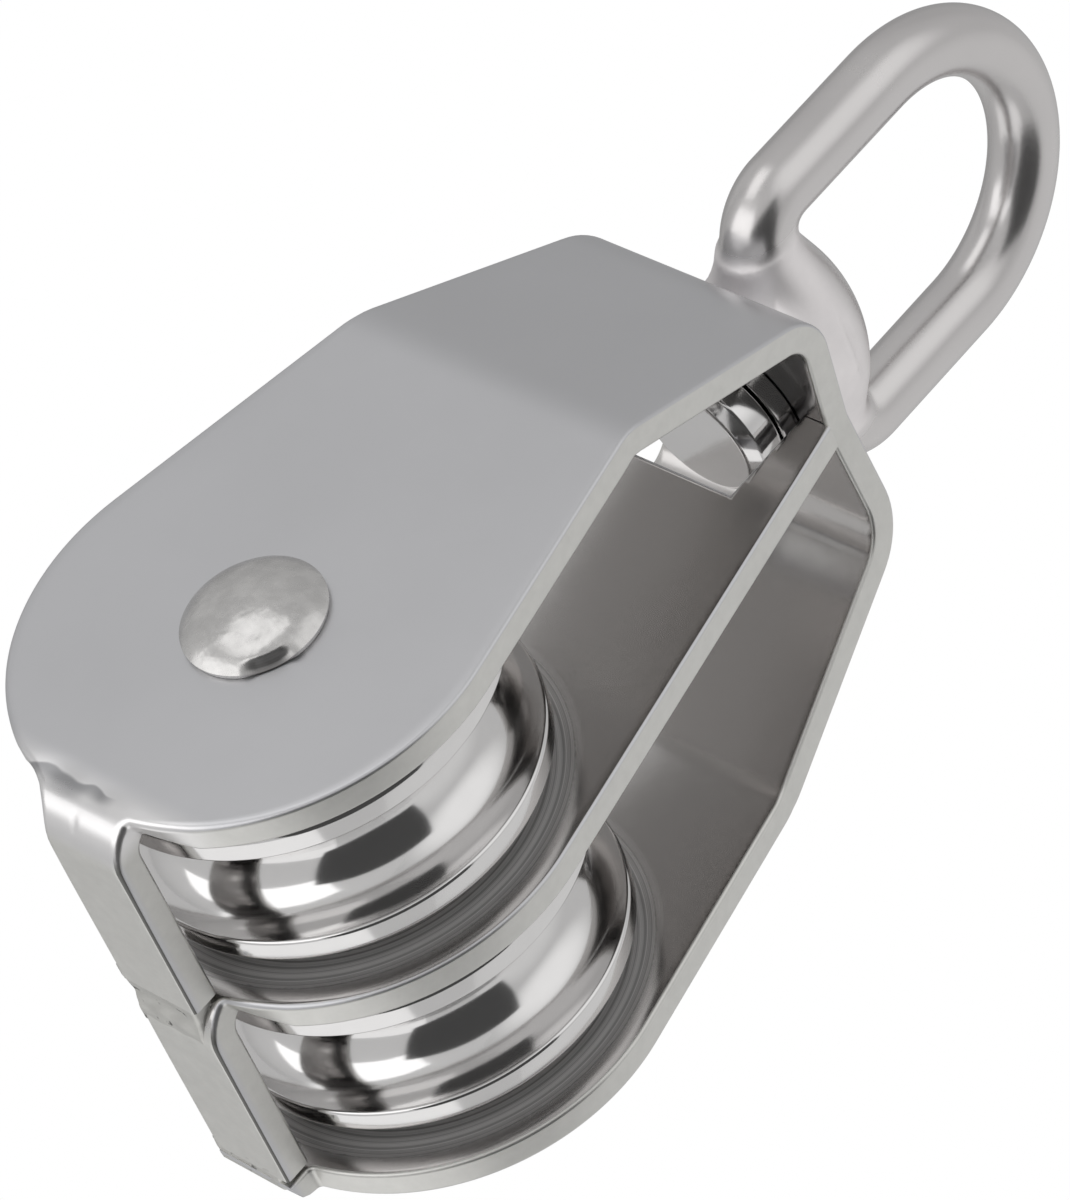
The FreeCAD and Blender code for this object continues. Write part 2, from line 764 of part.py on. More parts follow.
def make_far_weld():
    """Weld between the end of the far tab and the inside of the far cheek's foot."""
    body = new_body("strap_weld_far")
    sketch = new_sketch(body, "FarWeldSection", "YZ_Plane")
    end_y = inner_y - size["weld_root"]
    top_z = strap_z + size["weld_height"]
    lines = add_chain(sketch, [
        vector(inner_y, strap_z), vector(inner_y, top_z),
        vector(end_y, top_z), vector(end_y, strap_z)])
    face = bead_arc(sketch, end_y, inner_y, size["weld_crown"] / 2)
    place_point(sketch, lines[0], 2, inner_y, top_z)
    place_point(sketch, lines[1], 2, end_y, top_z)
    sketch.addConstraint(Sketcher.Constraint("Coincident", face, 2, lines[0], 1))
    sketch.addConstraint(Sketcher.Constraint("Coincident", lines[2], 2, face, 1))
    pad(body, "FarWeldBead", sketch, size["strap_width"])
    return body


def make_sheave(name, centre_y):
    """Turned wheel with a round groove, narrow rim lands and a hub that stands proud."""
    body = new_body(name)
    seat_on_axle(body)
    rim = size["sheave_radius"]
    half = size["sheave_width"] / 2
    edge = size["rim_round"]
    hub = size["hub_radius"]
    hub_half = (inner_y - plate_y) / 2 - size["hub_play"]
    bore = size["pin_radius"] + size["bore_clearance"]
    sketch = new_sketch(body, "SheaveSection", "XY_Plane")
    add_outline(sketch, [
        (bore, centre_y - hub_half),
        (hub, centre_y - hub_half),
        (hub, centre_y - half),
        (rim, centre_y - half, edge),
        (rim, centre_y + half, edge),
        (hub, centre_y + half),
        (hub, centre_y + hub_half),
        (bore, centre_y + hub_half),
    ])
    revolve(body, "SheaveTurned", sketch, "V_Axis")
    groove = new_sketch(body, "GrooveSection", "XY_Plane")
    mouth = half - size["rim_land"]
    floor = rim - size["groove_depth"]
    above = rim + edge
    add_outline(groove, [
        (above, centre_y - mouth),
        (above, centre_y + mouth),
        (rim - edge, centre_y + mouth),
        (floor, centre_y + mouth, size["groove_radius"]),
        (floor, centre_y - mouth, size["groove_radius"]),
        (rim - edge, centre_y - mouth),
    ])
    cut = body.newObject("PartDesign::Groove", "RopeGroove")
    cut.Profile = groove
    cut.ReferenceAxis = (groove, ["V_Axis"])
    cut.Angle = 360
    return body


make_swivel_eye()
make_swivel_washer()
make_cheek_shell()
make_centre_plate()
make_centre_weld()
make_far_weld()
make_axle_rivet()
make_sheave("near_sheave", -chamber_y)
make_sheave("far_sheave", chamber_y)
doc.recompute()

for item in doc.Objects:
    if "Invalid" in item.State or "Error" in item.State:
        raise RuntimeError(f"{item.Name} failed: {item.State}")
nodes = [item for item in doc.Objects if item.TypeId == "PartDesign::Body"]
for node in nodes:
    if node.Shape.isNull() or not node.Shape.isValid():
        raise RuntimeError(f"{node.Label} has no valid solid")

os.makedirs("parts", exist_ok=True)
for node in nodes:
    node.Shape.exportStep(f"parts/{node.Label}.step")
    print(node.Label, round(node.Shape.Volume, 1), len(node.Shape.Solids))
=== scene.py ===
import math
from contextlib import contextmanager

import bmesh
import bpy
import numpy as np
from bpy.props import FloatProperty, FloatVectorProperty, IntProperty, PointerProperty
from bpy.types import Operator, Panel, PropertyGroup
from mathutils import Euler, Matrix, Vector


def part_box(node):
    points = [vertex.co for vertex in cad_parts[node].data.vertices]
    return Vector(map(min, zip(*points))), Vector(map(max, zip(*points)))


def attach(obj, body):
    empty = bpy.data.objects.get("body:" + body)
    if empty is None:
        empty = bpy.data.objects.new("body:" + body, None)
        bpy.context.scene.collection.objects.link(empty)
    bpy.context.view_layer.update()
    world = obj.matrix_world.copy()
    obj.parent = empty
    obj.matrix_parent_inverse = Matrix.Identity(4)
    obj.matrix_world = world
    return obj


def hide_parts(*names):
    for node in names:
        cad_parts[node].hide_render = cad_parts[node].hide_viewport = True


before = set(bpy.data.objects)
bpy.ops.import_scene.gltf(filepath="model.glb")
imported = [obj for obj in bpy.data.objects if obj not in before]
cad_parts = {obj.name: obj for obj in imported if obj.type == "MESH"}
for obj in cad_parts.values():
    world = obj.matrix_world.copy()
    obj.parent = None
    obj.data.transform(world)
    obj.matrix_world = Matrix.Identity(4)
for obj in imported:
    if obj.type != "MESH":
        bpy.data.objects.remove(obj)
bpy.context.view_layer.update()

bl_info = {
    "name": "Swivel Block Dressing",
    "version": (1, 0, 0),
    "blender": (4, 5, 0),
    "location": "View3D > Sidebar > Swivel Block",
    "description": "Dresses the double swivel block in satin and polished stainless steel",
    "category": "Object",
}

MM = 0.001


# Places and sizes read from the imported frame, in millimetres
def node_corners(node):
    """Lowest and highest corner of a node at rest, in millimetres."""
    return tuple(np.array(corner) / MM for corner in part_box(node))


SHEAVE_LOW, SHEAVE_HIGH = node_corners("near_sheave")
SHELL_LOW, SHELL_HIGH = node_corners("cheek_shell")
EYE_LOW, EYE_HIGH = node_corners("swivel_eye")
PLATE_TOP = node_corners("centre_plate")[1][2]
WASHER_FOOT = node_corners("swivel_washer")[0][2]
RIVET_RADIUS, RIVET_TIP = node_corners("axle_rivet")[1][:2]
STRAP_HALF = node_corners("strap_weld_centre")[1][0]

SHEAVE_RADIUS = (SHEAVE_HIGH[0] - SHEAVE_LOW[0]) / 2
HUB_LENGTH = SHEAVE_HIGH[1] - SHEAVE_LOW[1]
CHAMBER_Y = -(SHEAVE_HIGH[1] + SHEAVE_LOW[1]) / 2
AXLE_Z = (SHEAVE_HIGH[2] + SHEAVE_LOW[2]) / 2
CHEEK_Y = -SHELL_LOW[1]
CHEEK_RADIUS = SHELL_HIGH[0]
CROWN_Z = SHELL_HIGH[2]
STRAP_Z = SHELL_LOW[2]
SHEET = CROWN_Z - PLATE_TOP
INNER_Y = CHEEK_Y - SHEET
ROD_RADIUS = EYE_HIGH[2] / 2
EYE_LEG_Y = EYE_HIGH[1] - ROD_RADIUS
EYE_ARC_Z = ROD_RADIUS - EYE_LEG_Y


# Settings that a user would change
def size(name, description, millimetres):
    """A length setting, its default given in millimetres."""
    return FloatProperty(
        name=name, description=description, default=millimetres * MM, unit="LENGTH")


def steel(name, description, *channels):
    """A colour setting."""
    return FloatVectorProperty(
        name=name, description=description, subtype="COLOR", default=channels, min=0, max=1)


class SheetSizes(PropertyGroup):
    """Outline and bends of the folded sheet. Bends are measured on the outer face."""
    fold_height: size("Fold height", "Height of the cheek's fold above the axle", 25.2)
    fold_half_width: size("Fold half width", "Half width of the cheek at its fold", 13.3)
    fold_bend: size("Fold bend", "Radius of the fold between cheek and slope", 6.3)
    crown_half_width: size("Crown half width", "Half width of the crown", 9.25)
    crown_span: size("Crown span", "Length of the crown between its bends", 22.8)
    crown_bend: size("Crown bend", "Radius of the bends beside the crown", 5.8)
    tab_bend: size("Tab bend", "Radius of the bends into the strap", 3.9)
    neck_radius: size("Neck radius", "Hollow radius between a cheek's foot and its tab", 0.5)
    flare_radius: size("Flare radius", "Neck radius on the -X side of the near tab", 4.5)
    foot_round: size("Foot rounding", "Ground radius on the far corner of the strap", 1.8)
    weld_root: size("Weld root", "Gap between a tab's end and the sheet it is welded to", 0.6)
    plate_top_half: size("Plate top half width", "Half width of the centre plate at its top", 9.8)
    notch_width: size("Notch width", "Width of the notch round the swivel head", 14.0)
    notch_depth: size("Notch depth", "Depth of the notch round the swivel head", 8.3)
    edge: size("Broken edge", "Rounding on the rims of the sheet", 0.3)
    neck_wear: size("Neck polish", "Rounding polished on the rim beside the near tab", 0.6)


class SheaveSizes(PropertyGroup):
    """Section of the turned sheaves."""
    width: size("Rim width", "Width of the sheave over both rims", 13.2)
    rim_land: size("Rim land", "Width of each rim beside the groove", 2.2)
    rim_round: size("Rim rounding", "Radius on both edges of a rim", 0.6)
    groove_depth: size("Groove depth", "Depth of the rope groove", 4.4)
    groove_radius: size("Groove radius", "Radius of the two corners of the groove", 4.0)
    hub_radius: size("Hub radius", "Radius of the raised hub", 6.0)
    bore_radius: size("Bore radius", "Radius of the bore on the axle", 3.08)
    segments: IntProperty(
        name="Segments", description="Steps round a turned piece", default=192, min=32)


class RivetSizes(PropertyGroup):
    """Form of the rivet's pin and peened heads."""
    pin_radius: size("Pin radius", "Radius of the pin through the block", 3.0)
    head_edge: size("Head edge", "Height of a head's straight edge", 0.45)
    chip_angle: FloatProperty(
        name="Chip angle", description="Place of the chip round the near head",
        default=math.radians(-34.0), subtype="ANGLE", unit="ROTATION")


class EyeSizes(PropertyGroup):
    """Form of the cast eye."""
    corner_radius: size("Corner radius", "Radius of the ring's centre line beside the boss", 4.0)
    barrel_radius: size("Barrel radius", "Largest radius of the barrel round the bar", 5.4)
    barrel_length: size("Barrel length", "Length of the barrel along the bar", 18.0)
    neck_radius: size("Neck radius", "Radius of the neck under the barrel", 5.3)
    foot_radius: size("Foot radius", "Radius of the flared foot on the crown", 7.0)
    foot_rim: size("Foot rim", "Height of the foot's straight rim", 0.6)
    saddle_height: size("Saddle height", "Height of the boss from its foot to the saddle", 9.4)
    crown_gap: size("Crown gap", "Running gap between the foot and the crown", 0.3)
    head_radius: size("Head radius", "Radius of the peened head under the crown", 5.9)
    shank_radius: size("Shank radius", "Radius of the shank in the crown's hole", 3.5)
    blend: size("Blend", "Softness of the joins in the casting", 1.7)
    grain: size("Mesh size", "Mesh size of the casting", 0.24)


class SteelColours(PropertyGroup):
    """Colours of the stainless finishes."""
    sheet: steel("Sheet", "Satin face of the sheet", 0.60, 0.60, 0.615)
    # Inner faces: polished, and given a darker colour as painted shade between the sheaves and the
    # cheeks.
    sheet_inner_shaded: steel(
        "Inner sheet", "Polished faces of the sheet beside the sheaves", 0.56, 0.545, 0.535)
    # The bend is polished, and its much lighter colour is a painted highlight.
    polished_bend_highlight: steel(
        "Polished bend", "Bend of the near tab, polished by the belt", 0.80, 0.79, 0.79)
    sheet_edge: steel("Sheet edge", "Ground edge of the sheet", 0.66, 0.655, 0.63)
    casting: steel("Casting", "Tumbled casting of the eye", 0.63, 0.612, 0.607)
    frosted_boss: steel("Frosted boss", "Frosted foot of the casting", 0.90, 0.87, 0.87)
    sheave: steel("Sheave", "Mirror polish of the sheaves", 0.73, 0.72, 0.715)
    rivet: steel("Rivet", "Hammered head of the rivet", 0.64, 0.63, 0.62)
    weld: steel("Weld", "Ground weld", 0.56, 0.555, 0.53)


class StudioSettings(PropertyGroup):
    """Light, floor and camera."""
    tent: FloatProperty(
        name="Tent light", description="Brightness of the light tent round the part",
        default=0.60, min=0, max=1)
    key_power: FloatProperty(
        name="Key light", description="Power of the soft key light",
        default=3.4, min=0, unit="POWER")
    floor_drop: FloatProperty(
        name="Floor drop", description="Distance of the floor below the origin",
        default=0.45, unit="LENGTH")
    camera_place: FloatVectorProperty(
        name="Camera place", description="Place of the camera",
        subtype="TRANSLATION", unit="LENGTH",
        default=(302.73 * MM, -342.97 * MM, -233.68 * MM))
    camera_turn: FloatVectorProperty(
        name="Camera turn", description="Turn of the camera about X, Y and Z",
        subtype="EULER",
        default=tuple(math.radians(turn) for turn in (118.185, -39.027, 22.860)))
    lens: FloatProperty(
        name="Lens", description="Focal length in millimetres on a 36 mm frame",
        default=207.15, min=20)


# Meshes
def ring_quads(rings, around, closed=False):
    """Corner numbers of the quads between rings of points, as an array with four columns.

    A closed set of rings also joins the last ring to the first."""
    ring, place = np.meshgrid(
        np.arange(rings if closed else rings - 1), np.arange(around), indexing="ij")
    next_ring, next_place = (ring + 1) % rings, (place + 1) % around
    corners = (ring * around + place, next_ring * around + place,
               next_ring * around + next_place, ring * around + next_place)
    return np.stack(corners, axis=-1).reshape(-1, 4)


def tube_faces(rings, around):
    """Faces of a closed tube: quads between its rings and one face over each end."""
    ends = [list(range(around)), list(range((rings - 1) * around, rings * around))]
    return ring_quads(rings, around).tolist() + ends


def new_object(name, data):
    """An object in the scene for a mesh, a camera or a lamp."""
    item = bpy.data.objects.new(name, data)
    bpy.context.scene.collection.objects.link(item)
    return item


@contextmanager
def opened(mesh):
    """The mesh opened for changes, which are written back at the end."""
    shape = bmesh.new()
    shape.from_mesh(mesh)
    yield shape
    shape.to_mesh(mesh)
    shape.free()


def mesh_points(mesh):
    """Places of a mesh's vertices, in millimetres."""
    points = np.empty(len(mesh.vertices) * 3)
    mesh.vertices.foreach_get("co", points)
    return points.reshape(-1, 3) / MM


def mesh_piece(name, points, faces, sharp=35.0, marks=None):
    """A smooth-shaded object at the origin from points in millimetres and faces.

    Doubles at poles and seams are merged, and the faces are turned outwards. Marks are
    named numbers, one for each face, that the materials read."""
    mesh = bpy.data.meshes.new(name)
    mesh.from_pydata((points * MM).tolist(), [], [list(face) for face in faces])
    for mark, values in (marks or {}).items():
        mesh.attributes.new(mark, "FLOAT", "FACE").data.foreach_set("value", values)
    with opened(mesh) as shape:
        bmesh.ops.remove_doubles(shape, verts=shape.verts, dist=0.002 * MM)
        bmesh.ops.recalc_face_normals(shape, faces=shape.faces)
    mesh.shade_smooth()
    mesh.set_sharp_from_angle(angle=math.radians(sharp))
    return new_object(name, mesh)


def seat(piece, body, slot, material, *nodes):
    """Give a piece its body and material, and hide the nodes that it stands for. The slot is not
    used.
    """
    piece.data.materials.clear()
    piece.data.materials.append(material)
    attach(piece, body)
    if nodes:
        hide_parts(*nodes)


def arc(centre, radius, angles):
    """Points at angles on a circle, as an array of two columns."""
    return np.stack([np.cos(angles), np.sin(angles)], -1) * radius + centre


def rounded_corners(corners, steps):
    """An open line through corners (x, y, radius), as one array of points for each corner.

    A rounded corner is an arc of so many steps that touches both of its sides. A sharp one is
    a single point, and so are both ends."""
    corners = np.array(corners, float)
    places = corners[:, :2]
    ways = np.diff(places, axis=0)
    ways /= np.linalg.norm(ways, axis=1)[:, None]
    runs = [places[:1]]
    for way, after, place, radius in zip(ways, ways[1:], places[1:], corners[1:, 2]):
        turn = math.atan2(way[0] * after[1] - way[1] * after[0], way @ after)
        side = math.copysign(radius, turn)
        start = place - way * radius * math.tan(abs(turn) / 2)
        centre = start + side * np.array((-way[1], way[0]))
        angles = math.atan2(-way[0], way[1]) + turn * np.linspace(0, 1, steps)
        runs.append(arc(centre, side, angles) if radius else place[None])
    return runs + [places[-1:]]


def fill_line(line, spacing):
    """The line with points added so that no side is longer than the spacing."""
    runs = []
    for start, end in zip(line, line[1:]):
        count = max(1, math.ceil(np.linalg.norm(end - start) / spacing))
        share = np.arange(count)[:, None] / count
        runs.append(start + (end - start) * share)
    return np.concatenate(runs + [line[-1:]])


def turned(profile, centre, axis, segments):
    """Points and faces of a closed profile (radius, height) turned about the Y or Z axis.

    At angle t they lie at centre + radius (cos t, sin t) + height along the axis."""
    angle = np.linspace(0, 2 * math.pi, segments, endpoint=False)
    radius, height = profile[:, 0, None], profile[:, 1, None]
    across, aside = radius * np.cos(angle), radius * np.sin(angle)
    along = height + 0 * angle
    order = [across, along, aside] if axis == "Y" else [across, aside, along]
    points = np.stack(order, -1).reshape(-1, 3) + np.array(centre)
    return points, ring_quads(len(profile), segments, closed=True)


# Shader maths
class Signal:
    """An output socket of a shader node, with arithmetic that adds Math nodes."""

    def __init__(self, finish, socket):
        self.finish = finish
        self.socket = socket

    def math(self, operation, *values):
        """A Math node on this value and the ones after it."""
        inputs = dict(enumerate((self,) + values))
        return self.finish.add("ShaderNodeMath", {"operation": operation}, inputs)

    def __add__(self, value):
        return self.math("ADD", value)

    def __sub__(self, value):
        return self.math("SUBTRACT", value)

    def __mul__(self, value):
        return self.math("MULTIPLY", value)

    def __rsub__(self, value):
        return self.finish.add("ShaderNodeMath", {"operation": "SUBTRACT"}, {0: value, 1: self})

    __radd__ = __add__
    __rmul__ = __mul__

    def above(self, low, high):
        """0 below low, 1 above high, and smooth between them."""
        return self.finish.add(
            "ShaderNodeMapRange", {"interpolation_type": "SMOOTHSTEP"},
            {"Value": self, "From Min": low, "From Max": high})

    def below(self, low, high):
        """1 below low, 0 above high, and smooth between them."""
        return 1.0 - self.above(low, high)


class Finish:
    """One procedural material."""

    def __init__(self, name):
        self.material = bpy.data.materials.new(name)
        self.material.use_nodes = True
        self.tree = self.material.node_tree
        self.tree.nodes.clear()

    def add(self, kind, settings=None, inputs=None, output=0):
        """A node with its settings made first and then its sockets' values or links."""
        node = self.tree.nodes.new(kind)
        for name, value in (settings or {}).items():
            setattr(node, name, value)
        for name, value in (inputs or {}).items():
            if isinstance(value, Signal):
                self.tree.links.new(value.socket, node.inputs[name])
            else:
                node.inputs[name].default_value = value
        return Signal(self, node.outputs[output]) if node.outputs else None

    def place(self):
        """Object coordinates in metres."""
        return self.add("ShaderNodeTexCoord", output="Object")

    def axis(self, name):
        """One object coordinate in millimetres."""
        parts = self.add("ShaderNodeSeparateXYZ", None, {0: self.place()}, output=name)
        return parts * (1 / MM)

    def noise(self, scale, detail, rough=0.5, vector=None):
        """Noise from 0 to 1 with so many features in a metre, or in a unit of the vector."""
        return self.add(
            "ShaderNodeTexNoise", None,
            {"Vector": vector or self.place(), "Scale": scale, "Detail": detail,
             "Roughness": rough})

    def attribute(self, name):
        """A number stored on the mesh."""
        return self.add("ShaderNodeAttribute", {"attribute_name": name}, output="Fac")

    def mix(self, factor, low, high):
        """A colour between low and high."""
        return self.add(
            "ShaderNodeMix", {"data_type": "RGBA"}, {0: factor, 6: low, 7: high}, output=2)

    def shades(self, factor, colour, low, high):
        """A colour between two shares of itself."""
        return self.mix(factor, rgba(colour, low), rgba(colour, high))

    def end(self, kind, inputs):
        """The surface shader and the material's output."""
        shader = self.add(kind, None, inputs)
        self.add("ShaderNodeOutputMaterial", None, {"Surface": shader})
        return self.material

    def metal(self, colour, roughness, *bumps, metallic=1.0):
        """A metal surface. Each bump is a height, from 0 to 1, and its depth in millimetres."""
        normal = {}
        for height, depth in bumps:
            inputs = {"Height": height, "Distance": depth * MM, "Strength": 1.0}
            normal = {"Normal": self.add("ShaderNodeBump", None, inputs | normal)}
        return self.end("ShaderNodeBsdfPrincipled", {
            "Base Color": colour, "Metallic": metallic, "Roughness": roughness} | normal)

    def glow(self, colour):
        """A surface that only shines."""
        return self.end("ShaderNodeEmission", {"Color": colour, "Strength": 1.0})


def rgba(colour, share=1.0):
    """A colour times a share, with full alpha."""
    return tuple(min(1.0, channel * share) for channel in colour) + (1.0,)


def satin_sheet(colours):
    """Satin rolled sheet with a faint mottle and ground edges.

    The rim mark is 1 on cut edges, corner is 1 on their outer rounding and inner is 1 on the
    faces beside the sheaves, which are polished and painted darker as shade. The strap's
    underside is ground like the cut edges, and its corner roundings carry a painted dark
    reflection. The bend into the near tab is polished and painted lighter as a highlight. A band
    of painted shade over that bend, wavy and darkest at its top, fades downwards. On the inner
    faces a ring of fine light and dark circles, where the rims of the sheaves are rubbing, is
    dull and painted as streaks of the rims' reflection."""
    finish = Finish("satin_sheet")
    across, aside = finish.axis("X"), finish.axis("Y")
    height = finish.axis("Z") - STRAP_Z
    cloud = finish.noise(90.0, 3.0)
    mottle = finish.noise(900.0, 3.0, 0.6)
    grain = finish.noise(5200.0, 2.0, 0.6)
    rim, corner, inner = (finish.attribute(name) for name in ("rim", "corner", "inner"))

    strap = height.below(0.25, 0.9)
    near = aside.below(1.6 - CHEEK_Y, 3.6 - CHEEK_Y)
    bend = height.below(2.6, 5.2) * near
    inner = inner * (1.0 - strap)
    under = strap * (1.0 - rim) * (1.0 - bend)
    ground = rim * (1.0 - strap) + under
    blotch = finish.shades(cloud, colours.sheet, 0.97, 1.03)
    # Painted shade: the polished inner faces beside the sheaves get the darker inner colour.
    face = finish.mix(inner, blotch, rgba(colours.sheet_inner_shaded))
    colour = finish.mix(ground, face, finish.shades(mottle, colours.sheet_edge, 0.9, 1.08))
    # Painted highlight: the polished bend into the near tab gets a much lighter colour.
    colour = finish.mix(bend * (1.0 - inner), colour, rgba(colours.polished_bend_highlight))
    # Painted dark reflection: a dark line along the rounded corners of the strap.
    colour = finish.mix(corner * strap * (1.0 - bend), colour, rgba(colours.sheet_edge, 0.25))

    # Painted shade: a darker wavy band over the bend of the near tab, darkest at its top and
    # fading downwards.
    level = height + 2.0 * (finish.noise(330.0, 1.0) - 0.5)
    shade_band = level.above(1.6, 3.2) * level.below(3.25, 3.5) * near * across.below(0.4, 2.2)
    colour = finish.mix(shade_band * (1.0 - inner) * (1.0 - rim), colour, rgba(colours.sheet, 0.62))

    lift = height - (AXLE_Z - STRAP_Z)
    radius = (across * across + lift * lift).math("SQRT")
    # Painted reflection: light and dark circles on the inner faces near the sheaves' rims stand
    # for streaks of the rims mirrored in the plate; the ring is also rougher and less metallic.
    circles = finish.noise(2.6, 3.0, 0.7, radius).above(0.35, 0.65)
    rub_and_reflection = inner * radius.below(SHEAVE_RADIUS - 0.2, SHEAVE_RADIUS + 1.6) * radius.above(
        SHEAVE_RADIUS - 3.0, SHEAVE_RADIUS - 1.5)
    colour = finish.mix(rub_and_reflection, colour, finish.shades(circles, colours.sheave, 0.45, 1.25))

    roughness = (0.30 + 0.08 * cloud + 0.05 * mottle - 0.17 * inner + 0.04 * ground
                 - 0.08 * bend + 0.16 * rub_and_reflection)
    return finish.metal(
        colour, roughness, (0.7 * mottle + 0.3 * grain, 0.0025), (mottle * under, 0.02),
        (cloud, 0.05), metallic=1.0 - 0.4 * rub_and_reflection)


def tumbled_casting(colours):
    """Tumbled cast steel: a soft polish over shallow waves, frosted on the boss."""
    finish = Finish("tumbled_casting")
    wave = finish.noise(160.0, 2.0)
    patch = finish.noise(420.0, 3.0, 0.6)
    pore = finish.noise(2600.0, 3.0, 0.6)
    aside = finish.axis("Y").math("ABSOLUTE")
    level = finish.axis("Z") - CROWN_Z + 3.0 * (wave - 0.5)
    frost = level.below(5.2, 8.6) * aside.below(EYE_LEG_Y - 2.6, EYE_LEG_Y - 1.2)
    ring = finish.shades(wave, colours.casting, 0.96, 1.04)
    boss = finish.shades(patch, colours.frosted_boss, 0.93, 1.05)
    roughness = 0.20 + 0.06 * wave + 0.05 * pore + 0.24 * frost
    return finish.metal(
        finish.mix(frost, ring, boss), roughness, (wave, 0.06), (patch * frost, 0.03),
        (pore, 0.002))


def mirror_sheave(colours):
    """Mirror-polished turned steel with faint turning lines round the axle.

    The side mark is 1 on the flat sides of a sheave, which are duller than its groove."""
    finish = Finish("mirror_sheave")
    lines = finish.noise(3.0, 2.0, 0.7, finish.attribute("turning"))
    haze = finish.noise(700.0, 3.0, 0.6)
    side = finish.attribute("side")
    colour = finish.shades(haze, colours.sheave, 0.96, 1.02)
    colour = finish.mix(side, colour, rgba(colours.sheave, 1.15))
    roughness = 0.08 + 0.07 * haze + 0.30 * side
    return finish.metal(
        colour, roughness, (lines, 0.0012), (finish.noise(300.0, 1.0), 0.01),
        metallic=1.0 - 0.5 * side)


def hammered_rivet(colours):
    """Peened head: low flats, small rings and dents under a dull polish, and a chip whose face is
    painted dark as shade.
    """
    finish = Finish("hammered_rivet")
    flat = finish.noise(190.0, 1.0)
    dent = finish.noise(620.0, 2.0).above(0.30, 0.70)
    pore = finish.noise(2400.0, 3.0, 0.6)
    chip = finish.attribute("chip")
    colour = finish.shades(flat, colours.rivet, 0.95, 1.08)
    colour = finish.mix(dent, rgba(colours.rivet, 0.88), colour)
    # Painted shade: the chip's face gets a much darker colour.
    colour = finish.mix(chip, colour, rgba(colours.rivet, 0.30))
    roughness = 0.20 + 0.12 * pore + 0.20 * chip
    return finish.metal(colour, roughness, (flat, 0.35), (dent, 0.03), (pore, 0.004))


def ground_weld(colours):
    """Weld ground back to the strap, with small pits left in it."""
    finish = Finish("ground_weld")
    pit = finish.noise(900.0, 2.0).above(0.62, 0.70)
    grain = finish.noise(3000.0, 3.0, 0.6)
    colour = finish.shades(pit, colours.weld, 1.0, 0.35)
    roughness = 0.34 + 0.12 * grain + 0.2 * pit
    return finish.metal(colour, roughness, (1.0 - pit, 0.12), (grain, 0.006))


# Folded sheet
LINE_STEPS = 40  # points on each run and each bend of a bent line
NECK_STEPS, FOOT_STEPS = 10, 60  # points on the neck and the foot of a cheek's outline
NECK_MIDDLE = 4  # point of that outline in the middle of the neck
FACE_COLUMNS = 48  # columns of points across each face of a sheet
OUTLINE_SPACING = 0.6  # longest step along a sheet's outline, in millimetres


class BentLine:
    """A line in the YZ plane through corners (y, z, radius), by its length from the start.

    Straight runs keep their heading and each corner, which has to be rounded, turns evenly
    round its arc. The outer face of the sheet lies on the line, to the left of its heading."""

    def __init__(self, corners):
        arcs = rounded_corners(corners, LINE_STEPS)
        share = np.linspace(0, 1, LINE_STEPS)
        places, headings = [], []
        for before, after in zip(arcs, arcs[1:]):
            run = after[0] - before[-1]
            heading = math.atan2(run[1], run[0])
            if headings:
                last = headings[-1][-1]
                turn = math.remainder(heading - last, 2 * math.pi)
                places.append(before)
                headings.append(last + turn * share)
                heading = last + turn
            places.append(before[-1] + run * share[:, None])
            headings.append(np.full(LINE_STEPS, heading))
        self.places, self.headings = np.concatenate(places), np.concatenate(headings)
        hops = np.linalg.norm(np.diff(self.places, axis=0), axis=1)
        self.lengths = np.concatenate([[0], np.cumsum(hops)])

    def at(self, length, depth):
        """Y and Z at a length along the line and a depth below the outer face."""
        heading = np.interp(length, self.lengths, self.headings)
        y = np.interp(length, self.lengths, self.places[:, 0])
        z = np.interp(length, self.lengths, self.places[:, 1])
        return y + depth * np.sin(heading), z - depth * np.cos(heading)


def foot_outline(neck_radius, flank):
    """Half widths and heights of a flat cheek, from the neck of its tab up to the flank's end.

    A hollow arc leads from the tab's side to the round foot about the axle, and the straight
    flank leaves the foot as a tangent to the point flank (half width, height)."""
    reach = CHEEK_RADIUS + neck_radius
    centre_x = STRAP_HALF + neck_radius
    centre_z = AXLE_Z - math.sqrt(reach * reach - centre_x * centre_x)
    lean = math.atan2(AXLE_Z - centre_z, -centre_x)
    angle = np.linspace(math.pi, lean, NECK_STEPS)
    neck = arc((centre_x, centre_z), neck_radius, angle)
    rise = flank[1] - AXLE_Z
    touch = math.atan2(rise, flank[0]) - math.acos(CHEEK_RADIUS / math.hypot(flank[0], rise))
    angle = np.linspace(lean - math.pi, touch, FOOT_STEPS)[1:]
    foot = arc((0, AXLE_Z), CHEEK_RADIUS, angle)
    return np.concatenate([neck, foot, [flank]])


